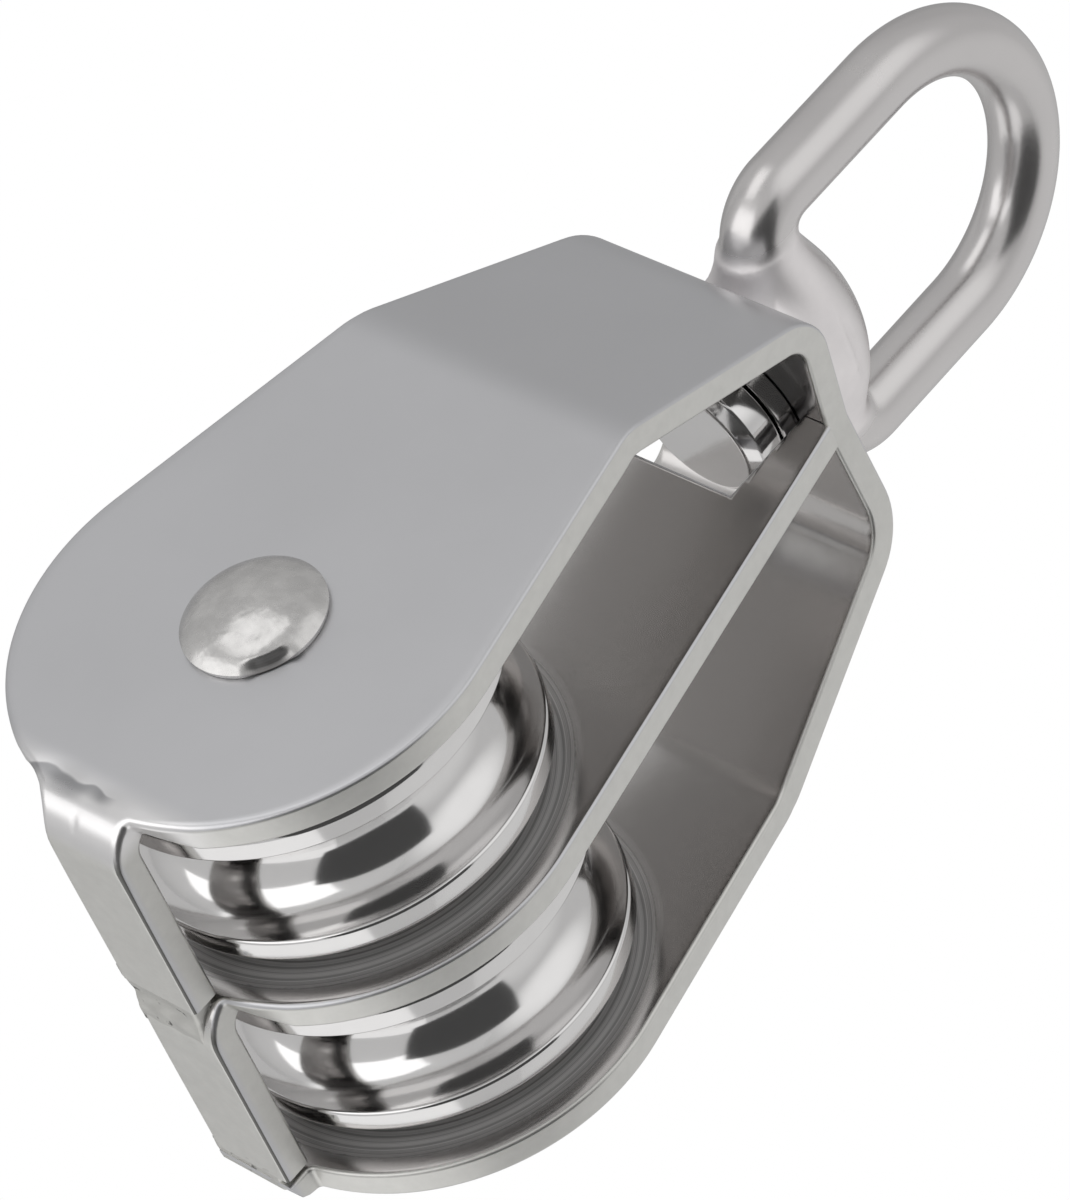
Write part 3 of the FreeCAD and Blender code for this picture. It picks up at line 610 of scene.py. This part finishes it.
def folded_sheet(line, outline, edge, foot_round=0.0, dents=(), flare=0.0):
    """Closed surface of a folded sheet: points, faces and marks for its materials.

    Each point of the outline (half width, length along the line) gives one section: across
    the outer face, round the rim with its two broken edges, back across the inner face and
    round the other rim. The edge is the outer corner's radius at each point, and the flare
    widens the -X side. A round foot draws the outer face in at the end by its radius less a
    circle's height, and each dent (x, length, half width, half length, depth) sinks it by
    the depth times a bell of x and length."""
    width, run_at = outline.T
    along = np.gradient(outline, axis=0)
    along /= np.linalg.norm(along, axis=1)[:, None]
    turn = np.linspace(0, math.pi / 2, 5)
    outer_edge = edge[:, None]
    inner_edge = np.min(outer_edge) + 0 * outer_edge
    flat, steep = 1 - np.sin(turn), 1 - np.cos(turn)
    inset = np.hstack([outer_edge * flat, inner_edge * steep])
    depth = np.hstack([outer_edge * steep, SHEET - inner_edge * flat])
    share = np.linspace(-1, 1, FACE_COLUMNS + 2)[1:-1]
    rim_x = width[:, None] - inset * along[:, 1:]
    rim_run = run_at[:, None] + inset * along[:, :1]
    face_x = share * rim_x[:, :1]
    face_run = rim_run[:, :1] + 0 * share
    x = np.hstack([face_x, rim_x, face_x[:, ::-1], -rim_x[:, ::-1]])
    x = np.where(x < 0, x * (1 + flare / width)[:, None], x)
    run = np.hstack([face_run, rim_run, face_run, rim_run[:, ::-1]])
    run = np.clip(run, 0, line.lengths[-1])
    deep = np.hstack([0 * face_x, depth, 0 * face_x + SHEET, depth[:, ::-1]])
    sunk = 0 * x
    if foot_round:
        short = np.clip(foot_round - (line.lengths[-1] - run), 0, foot_round)
        sunk = foot_round - np.sqrt(foot_round ** 2 - short ** 2)
    for dent_x, dent_run, half_x, half_run, dent_depth in dents:
        sunk = sunk + dent_depth * np.exp(
            -((x - dent_x) / half_x) ** 2 - ((run - dent_run) / half_run) ** 2)
    deep = deep + sunk * (1 - deep / SHEET)
    y, z = line.at(run, deep)
    rows, around = x.shape
    side = ["outer", "corner", "corner", "rim"] + ["rim"] * 5
    kind = (["outer"] * FACE_COLUMNS + side + ["inner"] * (FACE_COLUMNS + 1) + side[::-1]
            + ["outer"])
    kind = np.concatenate([np.tile(kind, rows - 1), ["rim", "rim"]])
    marks = {name: 1.0 * (kind == name) for name in ("corner", "rim", "inner")}
    return np.stack([x, y, z], -1).reshape(-1, 3), tube_faces(rows, around), marks


# Pieces, with their sizes in millimetres
# Dents over the near tab: x, length past its bend, half width, half length and depth
BEND_DENTS = (
    (-3.6, -0.5, 2.2, 0.8, 0.22), (0.2, -0.6, 1.9, 0.7, 0.18), (-0.6, -3.5, 0.3, 0.3, 0.12))
NECK_REACH = 5.0  # how far the neck's polish reaches up and down
FLARE_DROP = 10.0  # the flare lies lower than this under the axle


def worn_edge(sizes, run, neck, share):
    """Rounding of the outer corner at each run along the sheet: the broken edge, plus a share
    of the neck polish that falls off as a bell on both sides of the neck."""
    edge = sizes.edge / MM
    bell = np.exp(-((run - neck) / NECK_REACH) ** 2)
    return edge + share * (sizes.neck_wear / MM - edge) * bell


def cheek_shell_sheet(sizes, material):
    """The folded strip: strap tab, near cheek, crown and far cheek in one closed surface."""
    fold_z = AXLE_Z + sizes.fold_height / MM
    crown_y = sizes.crown_span / MM / 2
    fold, crown, tab = sizes.fold_bend / MM, sizes.crown_bend / MM, sizes.tab_bend / MM
    line = BentLine([
        (-(SHEET / 2 + sizes.weld_root / MM), STRAP_Z, 0), (-CHEEK_Y, STRAP_Z, tab),
        (-CHEEK_Y, fold_z, fold), (-crown_y, CROWN_Z, crown), (crown_y, CROWN_Z, crown),
        (CHEEK_Y, fold_z, fold), (CHEEK_Y, STRAP_Z, 0)])
    flank = (sizes.fold_half_width / MM, fold_z)
    foot = foot_outline(sizes.neck_radius / MM, flank)
    width, height = np.concatenate([foot, [(sizes.crown_half_width / MM, CROWN_Z)]]).T
    crown_run = slice(-5 * LINE_STEPS, None)
    middle = np.interp(0, line.places[crown_run, 0], line.lengths[crown_run])
    climb = line.lengths < middle

    def climbed(z):
        """Length along the line at a height on its near side."""
        return np.interp(z, line.places[climb, 1], line.lengths[climb])

    axle = climbed(AXLE_Z)
    run = np.where(height < AXLE_Z, axle + height - AXLE_Z, climbed(height))
    near = np.stack([width, run], -1)
    far = np.stack([width, 2 * middle - run], -1)[::-1]
    outline = np.concatenate([[(STRAP_HALF, 0)], near, far, [(STRAP_HALF, line.lengths[-1])]])
    outline = fill_line(outline, OUTLINE_SPACING)
    width, run = outline.T
    wide, drop = foot_outline(sizes.flare_radius / MM, flank).T
    flare = np.interp(run, axle + drop - AXLE_Z, wide) - width
    flare = np.where(run < axle - FLARE_DROP, flare, 0)
    bend = axle + STRAP_Z - AXLE_Z + tab
    dents = [(x, bend + past, *form) for x, past, *form in BEND_DENTS]
    edge = worn_edge(sizes, run, near[NECK_MIDDLE, 1], 1.0)
    points, faces, marks = folded_sheet(
        line, outline, edge, sizes.foot_round / MM, dents, flare)
    piece = mesh_piece("cheek_shell_sheet", points, faces, marks=marks)
    flatten(piece)
    seat(piece, "block", "sheet", material, "cheek_shell")


def centre_plate_sheet(sizes, material):
    """The centre plate: strap tab and plate in one closed surface, notched at the top."""
    line = BentLine([
        (INNER_Y - sizes.weld_root / MM, STRAP_Z, 0), (-SHEET / 2, STRAP_Z, sizes.tab_bend / MM),
        (-SHEET / 2, PLATE_TOP, 0)])
    foot = foot_outline(sizes.neck_radius / MM, (sizes.plate_top_half / MM, PLATE_TOP))
    foot[:, 1] += line.lengths[-1] - PLATE_TOP
    outline = fill_line(np.concatenate([[(STRAP_HALF, 0)], foot]), OUTLINE_SPACING)
    edge = worn_edge(sizes, outline[:, 1], foot[NECK_MIDDLE, 1], 0.7)
    points, faces, marks = folded_sheet(line, outline, edge)
    marks["inner"] = np.maximum(marks["inner"], 1 - marks["rim"] - marks["corner"])
    piece = mesh_piece("centre_plate_sheet", points, faces, marks=marks)
    notch(piece, sizes)
    flatten(piece)
    seat(piece, "block", "sheet", material, "centre_plate")


def notch(piece, sizes):
    """Cut the notch by a block whose four sides flare by 45 degrees at both faces."""
    half, floor = sizes.notch_width / MM / 2, PLATE_TOP - sizes.notch_depth / MM
    edge, face = sizes.edge / MM, SHEET / 2
    y = np.array([-SHEET, -face, edge - face, face - edge, face, SHEET])
    flare = np.maximum(np.abs(y) - face + edge, 0)[:, None]
    x = (half + flare) * np.array([-1, 1, 1, -1])
    z = (floor - flare) * np.array([1, 1, 0, 0]) + (PLATE_TOP + SHEET) * np.array([0, 0, 1, 1])
    points = np.stack([x, y[:, None] + 0 * x, z], -1).reshape(-1, 3)
    cutter = mesh_piece("notch_cutter", points, tube_faces(6, 4))
    cut = piece.modifiers.new("Notch", "BOOLEAN")
    cut.object = cutter
    cut.operation = "DIFFERENCE"
    cut.solver = "EXACT"
    bake_modifiers(piece)
    bpy.data.objects.remove(cutter)


def bake_modifiers(piece):
    """Give the piece the mesh that its modifiers make, and drop them."""
    graph = bpy.context.evaluated_depsgraph_get()
    mesh = bpy.data.meshes.new_from_object(piece.evaluated_get(graph))
    piece.modifiers.clear()
    piece.data = mesh


def flatten(piece):
    """Keep broad faces flat and shade only the broken edges and bends as round."""
    weighted = piece.modifiers.new("Flat faces", "WEIGHTED_NORMAL")
    weighted.keep_sharp = True


BEAD_STEPS = (41, 61)  # points across and along a bead
BEAD_CLEAR = (0.02, 0.75)  # distance of its ends from the strap's sides
BEAD_PROUD, BEAD_FALL, BEAD_RIPPLE = 0.045, 0.08, 0.05  # height, its fall at s = 1, ripple
HOLLOW_WIDTH = 0.42  # width of the hollow's bell, as a share of half the span
END_SHARE, END_RISE = 0.14, 0.9  # rounded share of half the length, and how far it rises


def strap_bead(name, node, span, hollow, material):
    """A ground weld bead across the strap, as a closed surface.

    With s from -1 to 1 over the span of y, its underside is the strap's own plane, sunk by a
    bell of s times the hollow, proud by a shallow parabola of s and rippled by sines of x and
    y. It runs across the strap and is rounded off at its +X end as a quarter circle."""
    across, along = (np.linspace(-1, 1, count) for count in BEAD_STEPS)
    along = along[:, None]
    x = np.interp(along, (-1, 1), (BEAD_CLEAR[0] - STRAP_HALF, STRAP_HALF - BEAD_CLEAR[1]))
    y = np.interp(across, (-1, 1), span)
    ripple = np.sin(1.9 * x + 1.3 * np.sin(2.1 * y)) * np.sin(2.7 * y + 0.8 * x)
    proud = BEAD_PROUD - BEAD_FALL * across ** 2
    sunk = hollow * np.exp(-(across / HOLLOW_WIDTH) ** 2)
    sunk = sunk + BEAD_RIPPLE * (1 + ripple) * (1 - across ** 2)
    end = np.clip((along - 1 + END_SHARE) / END_SHARE, 0, 1)
    under = STRAP_Z - proud + sunk + END_RISE * (1 - np.sqrt(1 - end ** 2))
    top = np.full((len(along), 1), STRAP_Z + SHEET * 0.8)
    section_z = np.concatenate([under, top, top], axis=1)
    section_y = np.concatenate([y, [span[1] - 0.4, span[0] + 0.4]]) + 0 * section_z
    points = np.stack([x + 0 * section_z, section_y, section_z], -1).reshape(-1, 3)
    piece = mesh_piece(name, points, tube_faces(*section_z.shape), sharp=60.0)
    seat(piece, "block", "weld", material, node)


def sheave_profile(sizes):
    """Closed section of a sheave: bore, raised hub, rims and the round groove."""
    half = sizes.width / MM / 2
    mouth = half - sizes.rim_land / MM
    floor = SHEAVE_RADIUS - sizes.groove_depth / MM
    bore, hub, hub_round = sizes.bore_radius / MM, sizes.hub_radius / MM, 0.3
    rim_round, groove = sizes.rim_round / MM, sizes.groove_radius / MM
    upper = [
        (bore, HUB_LENGTH / 2, 0), (hub, HUB_LENGTH / 2, hub_round), (hub, half, hub_round),
        (SHEAVE_RADIUS, half, rim_round), (SHEAVE_RADIUS, mouth, rim_round / 2),
        (floor, mouth, groove)]
    lower = [(radius, -height, rounding) for radius, height, rounding in upper]
    return np.concatenate(rounded_corners(lower + upper[::-1], 14))


def store_turning(piece, centre_y, half):
    """Store turning, radius plus height along the axle in millimetres, and side, which is 1 on
    the flat sides of the sheave inside its rims."""
    points = mesh_points(piece.data)
    radius = np.hypot(points[:, 0], points[:, 2] - AXLE_Z)
    height = np.abs(points[:, 1] - centre_y)
    side = (height > half - 0.02) & (radius < SHEAVE_RADIUS - 0.7)
    for name, values in (("turning", radius + height), ("side", 1.0 * side)):
        piece.data.attributes.new(name, "FLOAT", "POINT").data.foreach_set("value", values)


def path_distance(y, z, bar_z, corner):
    """Distance in the plane from the ring's centre line: half circle, legs, corners and bar."""
    y = np.abs(y)
    flat = EYE_LEG_Y - corner
    top = np.where(z > EYE_ARC_Z, np.abs(np.hypot(y, z - EYE_ARC_Z) - EYE_LEG_Y), np.inf)
    above = np.maximum(z - EYE_ARC_Z, 0) + np.maximum(bar_z + corner - z, 0)
    leg = np.hypot(y - EYE_LEG_Y, above)
    in_corner = (y > flat) & (z < bar_z + corner)
    bend = np.where(in_corner, np.abs(np.hypot(y - flat, z - bar_z - corner) - corner), np.inf)
    bar = np.hypot(np.maximum(y - flat, 0), z - bar_z)
    return np.minimum(np.minimum(top, leg), np.minimum(bend, bar))


FOOT_SOFTNESS = 2.2  # how much softer than the other joins the foot's join is


def soft_union(first, second, softness):
    """Smaller of two distances, with the crease between them filled over the softness."""
    share = np.clip(0.5 + 0.5 * (second - first) / softness, 0, 1)
    return second + (first - second) * share - softness * share * (1 - share)


def casting_distance(points, sizes):
    """Distance from the surface of the casting: ring, barrel and foot joined softly."""
    x, y, z = points.T
    foot_z = CROWN_Z + sizes.crown_gap / MM
    barrel, half = sizes.barrel_radius / MM, sizes.barrel_length / MM / 2
    bar_z = foot_z + sizes.saddle_height / MM - barrel
    ring = np.hypot(x, path_distance(y, z, bar_z, sizes.corner_radius / MM)) - ROD_RADIUS
    bulge = barrel - ROD_RADIUS
    sweep = (half * half + bulge * bulge) / (2 * bulge)
    across = np.hypot(x, z - bar_z)
    inside = np.hypot(y, across + sweep - barrel) - sweep
    capped = np.maximum(inside, np.abs(y) - half)
    around = np.hypot(x, y)
    neck = np.maximum(around - sizes.neck_radius / MM, z - bar_z)
    rim = np.maximum(around - sizes.foot_radius / MM, z - foot_z - sizes.foot_rim / MM)
    blend = sizes.blend / MM
    boss = soft_union(neck, rim, FOOT_SOFTNESS * blend)
    whole = soft_union(soft_union(ring, capped, blend), boss, blend)
    return np.maximum(whole, foot_z - z)


def settle(points, distance):
    """Move points along the slope of a distance until it is zero."""
    rounds, nudge, least_slope, longest_step = 6, 0.01, 0.2, 0.3
    for _ in range(rounds):
        value = distance(points)
        slope = np.stack([
            (distance(points + nudge * axis) - distance(points - nudge * axis)) / (2 * nudge)
            for axis in np.eye(3)], -1)
        step = value / np.maximum(np.sum(slope * slope, -1), least_slope)
        points = points - np.clip(step, -longest_step, longest_step)[:, None] * slope
    return points


def eye_casting(sizes, material):
    """The ring and boss: the node's form remeshed evenly and settled on the soft joins."""
    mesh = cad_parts["swivel_eye"].data.copy()
    mesh.name = "eye_casting"
    foot = CROWN_Z * MM + sizes.crown_gap + 0.02 * MM
    with opened(mesh) as shape:
        bmesh.ops.remove_doubles(shape, verts=shape.verts, dist=0.001 * MM)
        bmesh.ops.bisect_plane(
            shape, geom=shape.verts[:] + shape.edges[:] + shape.faces[:],
            plane_co=(0, 0, foot), plane_no=(0, 0, 1), clear_inner=True)
        open_edges = [edge for edge in shape.edges if edge.is_boundary]
        bmesh.ops.holes_fill(shape, edges=open_edges)
    piece = new_object("eye_casting", mesh)
    remesh = piece.modifiers.new("Even mesh", "REMESH")
    remesh.mode = "VOXEL"
    remesh.voxel_size = sizes.grain
    bake_modifiers(piece)
    even = piece.data
    points = settle(mesh_points(even), lambda places: casting_distance(places, sizes))
    even.vertices.foreach_set("co", (points * MM).ravel())
    even.shade_smooth()
    even.set_sharp_from_angle(angle=math.radians(50))
    seat(piece, "swivel", "casting", material, "swivel_eye")


def swivel_head(sizes, material):
    """Shank and peened head under the crown, turned about Z."""
    low, high = EYE_LOW[2], CROWN_Z + sizes.crown_gap / MM + 0.4
    head, shank, bevel = sizes.head_radius / MM, sizes.shank_radius / MM, 0.9
    shoulder = WASHER_FOOT - 0.1
    profile = rounded_corners([
        (0, low, 0), (head - bevel, low, 0.5), (head, low + bevel, 0.4),
        (head, shoulder, 0.25), (shank, shoulder, 0), (shank, high, 0), (0, high, 0)], 8)
    points, faces = turned(np.concatenate(profile), (0, 0, 0), "Z", 128)
    seat(mesh_piece("swivel_head", points, faces), "swivel", "casting", material)


# Dents in the near head: x, height over the axle, width and depth in millimetres
HEAD_DENTS = (
    (-1.6, 1.9, 2.0, 0.16), (2.2, 2.4, 1.8, 0.14), (2.0, -2.0, 1.0, 0.17),
    (-3.0, -1.0, 1.5, 0.10), (3.4, -0.6, 1.2, 0.08), (0.2, 3.8, 0.9, 0.08),
)
CHIP_SWING, CHIP_WIDTH, CHIP_FADE = 0.32, 0.8, 0.6  # half angle in radians, and millimetres
CHIP_DRAW, CHIP_PRESS = 0.22, 0.80  # how far the chip is drawn in, and the share pressed down
DOME_POWER = 3.6  # a head's height falls by this power of the radius


def rivet_piece(sizes, segments, material):
    """The axle rivet: pin and two low domed heads, turned about the axle.

    A head's height falls by a power of the radius. The near head is sunk by bells at its
    dents, and a chip in its rim is drawn in and pressed down nearly to the cheek."""
    head, pin, edge = RIVET_RADIUS, sizes.pin_radius / MM, sizes.head_edge / MM
    radius = head * np.linspace(0, 1, 36) ** 0.8
    height = RIVET_TIP - (RIVET_TIP - CHEEK_Y - edge) * (radius / head) ** DOME_POWER
    half = np.concatenate([
        np.stack([radius, height], -1),
        [(head, CHEEK_Y + edge / 2), (head - 0.1, CHEEK_Y + 0.02), (pin, CHEEK_Y + 0.01)]])
    profile = np.concatenate([half, half[::-1] * (1, -1)])
    points, faces = turned(profile, (0, 0, AXLE_Z), "Y", segments)
    x, y, z = points[:, 0].copy(), points[:, 1], points[:, 2] - AXLE_Z
    near = y < 0.02 - CHEEK_Y
    for dent_x, dent_z, width, depth in HEAD_DENTS:
        bell = np.exp(-((x - dent_x) ** 2 + (z - dent_z) ** 2) / width ** 2)
        y += near * depth * bell * np.clip((-y - CHEEK_Y) / edge, 0, 1)
    turn = np.arctan2(z, x)
    chip = near * np.exp(-((turn - sizes.chip_angle) / CHIP_SWING) ** 4) * np.clip(
        (np.hypot(x, z) - head + CHIP_WIDTH) / CHIP_FADE, 0, 1)
    y += CHIP_PRESS * chip * np.maximum(-y - CHEEK_Y - 0.05, 0)
    points[:, 0] -= CHIP_DRAW * chip * np.cos(turn)
    points[:, 2] -= CHIP_DRAW * chip * np.sin(turn)
    piece = mesh_piece("axle_rivet_turned", points, faces, marks={
        "chip": np.mean(chip[faces], axis=1)})
    seat(piece, "block", "rivet", material, "axle_rivet")


# Operators, one for each piece or group of like pieces
def settings():
    """The scene's block settings."""
    return bpy.context.scene.swivel_block


class SWIVELBLOCK_OT_sheets(Operator):
    """Dress the folded cheeks and the centre plate in satin sheet"""
    bl_idname = "swivelblock.sheets"
    bl_label = "Cheeks and Centre Plate"

    def execute(self, context):
        material = satin_sheet(settings().colours)
        cheek_shell_sheet(settings().sheets, material)
        centre_plate_sheet(settings().sheets, material)
        return {"FINISHED"}


class SWIVELBLOCK_OT_welds(Operator):
    """Give both weld seams of the strap their ground finish"""
    bl_idname = "swivelblock.welds"
    bl_label = "Strap Welds"

    def execute(self, context):
        material = ground_weld(settings().colours)
        far_span = (INNER_Y - 1.6, INNER_Y + 0.9)
        strap_bead("strap_bead_centre", "strap_weld_centre", (-3.2, 2.9), 0.35, material)
        strap_bead("strap_bead_far", "strap_weld_far", far_span, 0.05, material)
        return {"FINISHED"}


class SWIVELBLOCK_OT_sheaves(Operator):
    """Turn both sheaves with their grooves and polish them"""
    bl_idname = "swivelblock.sheaves"
    bl_label = "Sheaves"

    def execute(self, context):
        sizes = settings().sheaves
        material = mirror_sheave(settings().colours)
        corners = sheave_profile(sizes)
        profile = fill_line(np.concatenate([corners, corners[:1]]), 0.8)[:-1]
        for node, body, centre_y in (
                ("near_sheave", "near_wheel", -CHAMBER_Y), ("far_sheave", "far_wheel", CHAMBER_Y)):
            points, faces = turned(profile, (0, centre_y, AXLE_Z), "Y", sizes.segments)
            piece = mesh_piece(f"{node}_turned", points, faces)
            store_turning(piece, centre_y, sizes.width / MM / 2)
            seat(piece, body, "sheave", material, node)
        return {"FINISHED"}


class SWIVELBLOCK_OT_rivet(Operator):
    """Turn the axle rivet and dent its near head"""
    bl_idname = "swivelblock.rivet"
    bl_label = "Axle Rivet"

    def execute(self, context):
        rivet_piece(
            settings().rivet, settings().sheaves.segments, hammered_rivet(settings().colours))
        return {"FINISHED"}


class SWIVELBLOCK_OT_swivel(Operator):
    """Form the cast eye and its peened head, and give the washer a polished finish"""
    bl_idname = "swivelblock.swivel"
    bl_label = "Swivel Eye"

    def execute(self, context):
        sizes = settings().eye
        material = tumbled_casting(settings().colours)
        eye_casting(sizes, material)
        polished = mirror_sheave(settings().colours)
        swivel_head(sizes, polished)
        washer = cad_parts["swivel_washer"].data
        washer.materials.clear()
        washer.materials.append(polished)
        return {"FINISHED"}


class SWIVELBLOCK_OT_studio(Operator):
    """Set up the camera, the floor, the light tent, the reflector cards and the key lamp"""
    bl_idname = "swivelblock.studio"
    bl_label = "Studio"

    def execute(self, context):
        studio = settings().studio
        make_camera(studio)
        make_floor(studio)
        make_tent(studio)
        make_cards()
        make_world()
        make_key(studio)
        context.scene.view_settings.view_transform = "Standard"
        return {"FINISHED"}


def make_camera(studio):
    """The camera at the photograph's viewing angle."""
    data = bpy.data.cameras.new("camera")
    data.lens = studio.lens
    data.sensor_width = 36.0
    data.clip_start = 0.01
    camera = new_object("camera", data)
    camera.location = studio.camera_place
    camera.rotation_euler = Euler(studio.camera_turn, "XYZ")
    bpy.context.scene.camera = camera


def make_floor(studio):
    """A wide pale floor well below the hanging block."""
    half, drop = 2.0, -studio.floor_drop
    corners = [(-half, -half, drop), (half, -half, drop), (half, half, drop), (-half, half, drop)]
    material = Finish("pale_floor").end(
        "ShaderNodeBsdfPrincipled", {"Base Color": rgba((0.86,) * 3), "Roughness": 0.9})
    add_stage("floor", flat_mesh("floor", corners), material)


# Patches of the light tent: direction, full inside and none outside these degrees, brightness
TENT_PATCHES = (
    ((0.65, -0.62, 0.44), 10, 40, 1.0),
    ((0.61, 0.70, 0.37), 15, 50, 0.74),
    ((-0.60, 0.00, 0.80), 15, 45, 0.52),
    ((-0.82, 0.42, 0.38), 12, 45, 0.40),
)

# Reflector cards, seen only as reflections: four corners in metres and a brightness
CARDS = {
    "low_card": (
        ((-0.42, -0.48, -0.40), (0.20, -0.48, -0.40), (0.20, -0.13, -0.40), (-0.42, -0.13, -0.40)),
        1.5),
    "back_card": (
        ((-0.30, 0.16, -0.40), (0.30, 0.16, -0.40), (0.30, 0.60, -0.40), (-0.30, 0.60, -0.40)),
        1.05),
    "front_card": (
        ((-0.30, -0.46, -0.26), (-0.02, -0.52, -0.26), (-0.02, -0.52, 0.10), (-0.30, -0.46, 0.10)),
        1.3),
    "dark_flag": (
        ((0.125, -0.175, -0.36), (0.20, 0.20, -0.36), (0.36, 0.22, -0.03), (0.33, -0.25, -0.03)),
        0.07),
}


def flat_mesh(name, corners):
    """A mesh of one face with four corners, in metres."""
    mesh = bpy.data.meshes.new(name)
    mesh.from_pydata(corners, [], [(0, 1, 2, 3)])
    return mesh


def add_stage(name, mesh, material):
    """An object of the studio."""
    mesh.materials.append(material)
    item = new_object(name, mesh)
    return item


def make_tent(studio):
    """A wide dome whose brightness is a soft function of direction."""
    finish = Finish("light_tent")
    way = finish.add(
        "ShaderNodeVectorMath", {"operation": "NORMALIZE"}, {0: finish.place()})
    colour = rgba((studio.tent,) * 3)
    for direction, inside, outside, brightness in TENT_PATCHES:
        unit = np.array(direction) / np.linalg.norm(direction)
        near = finish.add(
            "ShaderNodeVectorMath", {"operation": "DOT_PRODUCT"}, {0: way, 1: tuple(unit)},
            output="Value")
        patch = near.above(math.cos(math.radians(outside)), math.cos(math.radians(inside)))
        colour = finish.mix(patch, colour, rgba((brightness,) * 3))
    mesh = bpy.data.meshes.new("light_tent")
    with opened(mesh) as shape:
        bmesh.ops.create_uvsphere(shape, u_segments=48, v_segments=24, radius=2.6)
    add_stage("light_tent", mesh, finish.glow(colour)).visible_camera = False


def make_cards():
    """The reflector cards, which light nothing and show only in polished steel."""
    for name, (corners, brightness) in CARDS.items():
        material = Finish(name).glow((brightness,) * 3 + (1.0,))
        card = add_stage(name, flat_mesh(name, corners), material)
        card.visible_camera = card.visible_diffuse = card.visible_shadow = False


def make_world():
    """A plain white world, which is what the camera sees behind the block."""
    world = bpy.data.worlds.new("white_backdrop")
    world.use_nodes = True
    world.node_tree.nodes["Background"].inputs["Color"].default_value = (1.0, 1.0, 1.0, 1.0)
    bpy.context.scene.world = world


def make_key(studio):
    """A wide soft lamp from above the camera's left, for the floor and its shadow."""
    data = bpy.data.lights.new("key", "AREA")
    data.energy = studio.key_power
    data.size = 1.2
    lamp = new_object("key", data)
    lamp.location = (-0.35, -0.60, 0.85)
    lamp.rotation_euler = (-lamp.location).to_track_quat("-Z", "Y").to_euler()
    lamp.visible_glossy = False


class SwivelBlockSettings(PropertyGroup):
    """All settings of the block and its studio."""
    sheets: PointerProperty(type=SheetSizes)
    sheaves: PointerProperty(type=SheaveSizes)
    rivet: PointerProperty(type=RivetSizes)
    eye: PointerProperty(type=EyeSizes)
    colours: PointerProperty(type=SteelColours)
    studio: PointerProperty(type=StudioSettings)


OPERATORS = (
    SWIVELBLOCK_OT_studio,
    SWIVELBLOCK_OT_sheets,
    SWIVELBLOCK_OT_welds,
    SWIVELBLOCK_OT_sheaves,
    SWIVELBLOCK_OT_rivet,
    SWIVELBLOCK_OT_swivel,
)


class SWIVELBLOCK_PT_panel(Panel):
    """Settings and steps of the swivel block"""
    bl_idname = "SWIVELBLOCK_PT_panel"
    bl_label = "Swivel Block"
    bl_space_type = "VIEW_3D"
    bl_region_type = "UI"
    bl_category = "Swivel Block"

    def draw(self, context):
        block = context.scene.swivel_block
        for group in (getattr(block, name) for name in block.__annotations__):
            box = self.layout.box()
            for name in group.__annotations__:
                box.prop(group, name)
        for operator in OPERATORS:
            self.layout.operator(operator.bl_idname)


CLASSES = (
    SheetSizes, SheaveSizes, RivetSizes, EyeSizes, SteelColours, StudioSettings,
    SwivelBlockSettings, *OPERATORS, SWIVELBLOCK_PT_panel,
)


def register():
    """Register the settings, the operators and the panel."""
    for cls in CLASSES:
        bpy.utils.register_class(cls)
    bpy.types.Scene.swivel_block = PointerProperty(type=SwivelBlockSettings)


def unregister():
    """Remove what register added."""
    del bpy.types.Scene.swivel_block
    for cls in reversed(CLASSES):
        bpy.utils.unregister_class(cls)


def main():
    register()
    for operator in OPERATORS:
        group, step = operator.bl_idname.split(".")
        getattr(getattr(bpy.ops, group), step)()


if __name__ == "__main__":
    main()
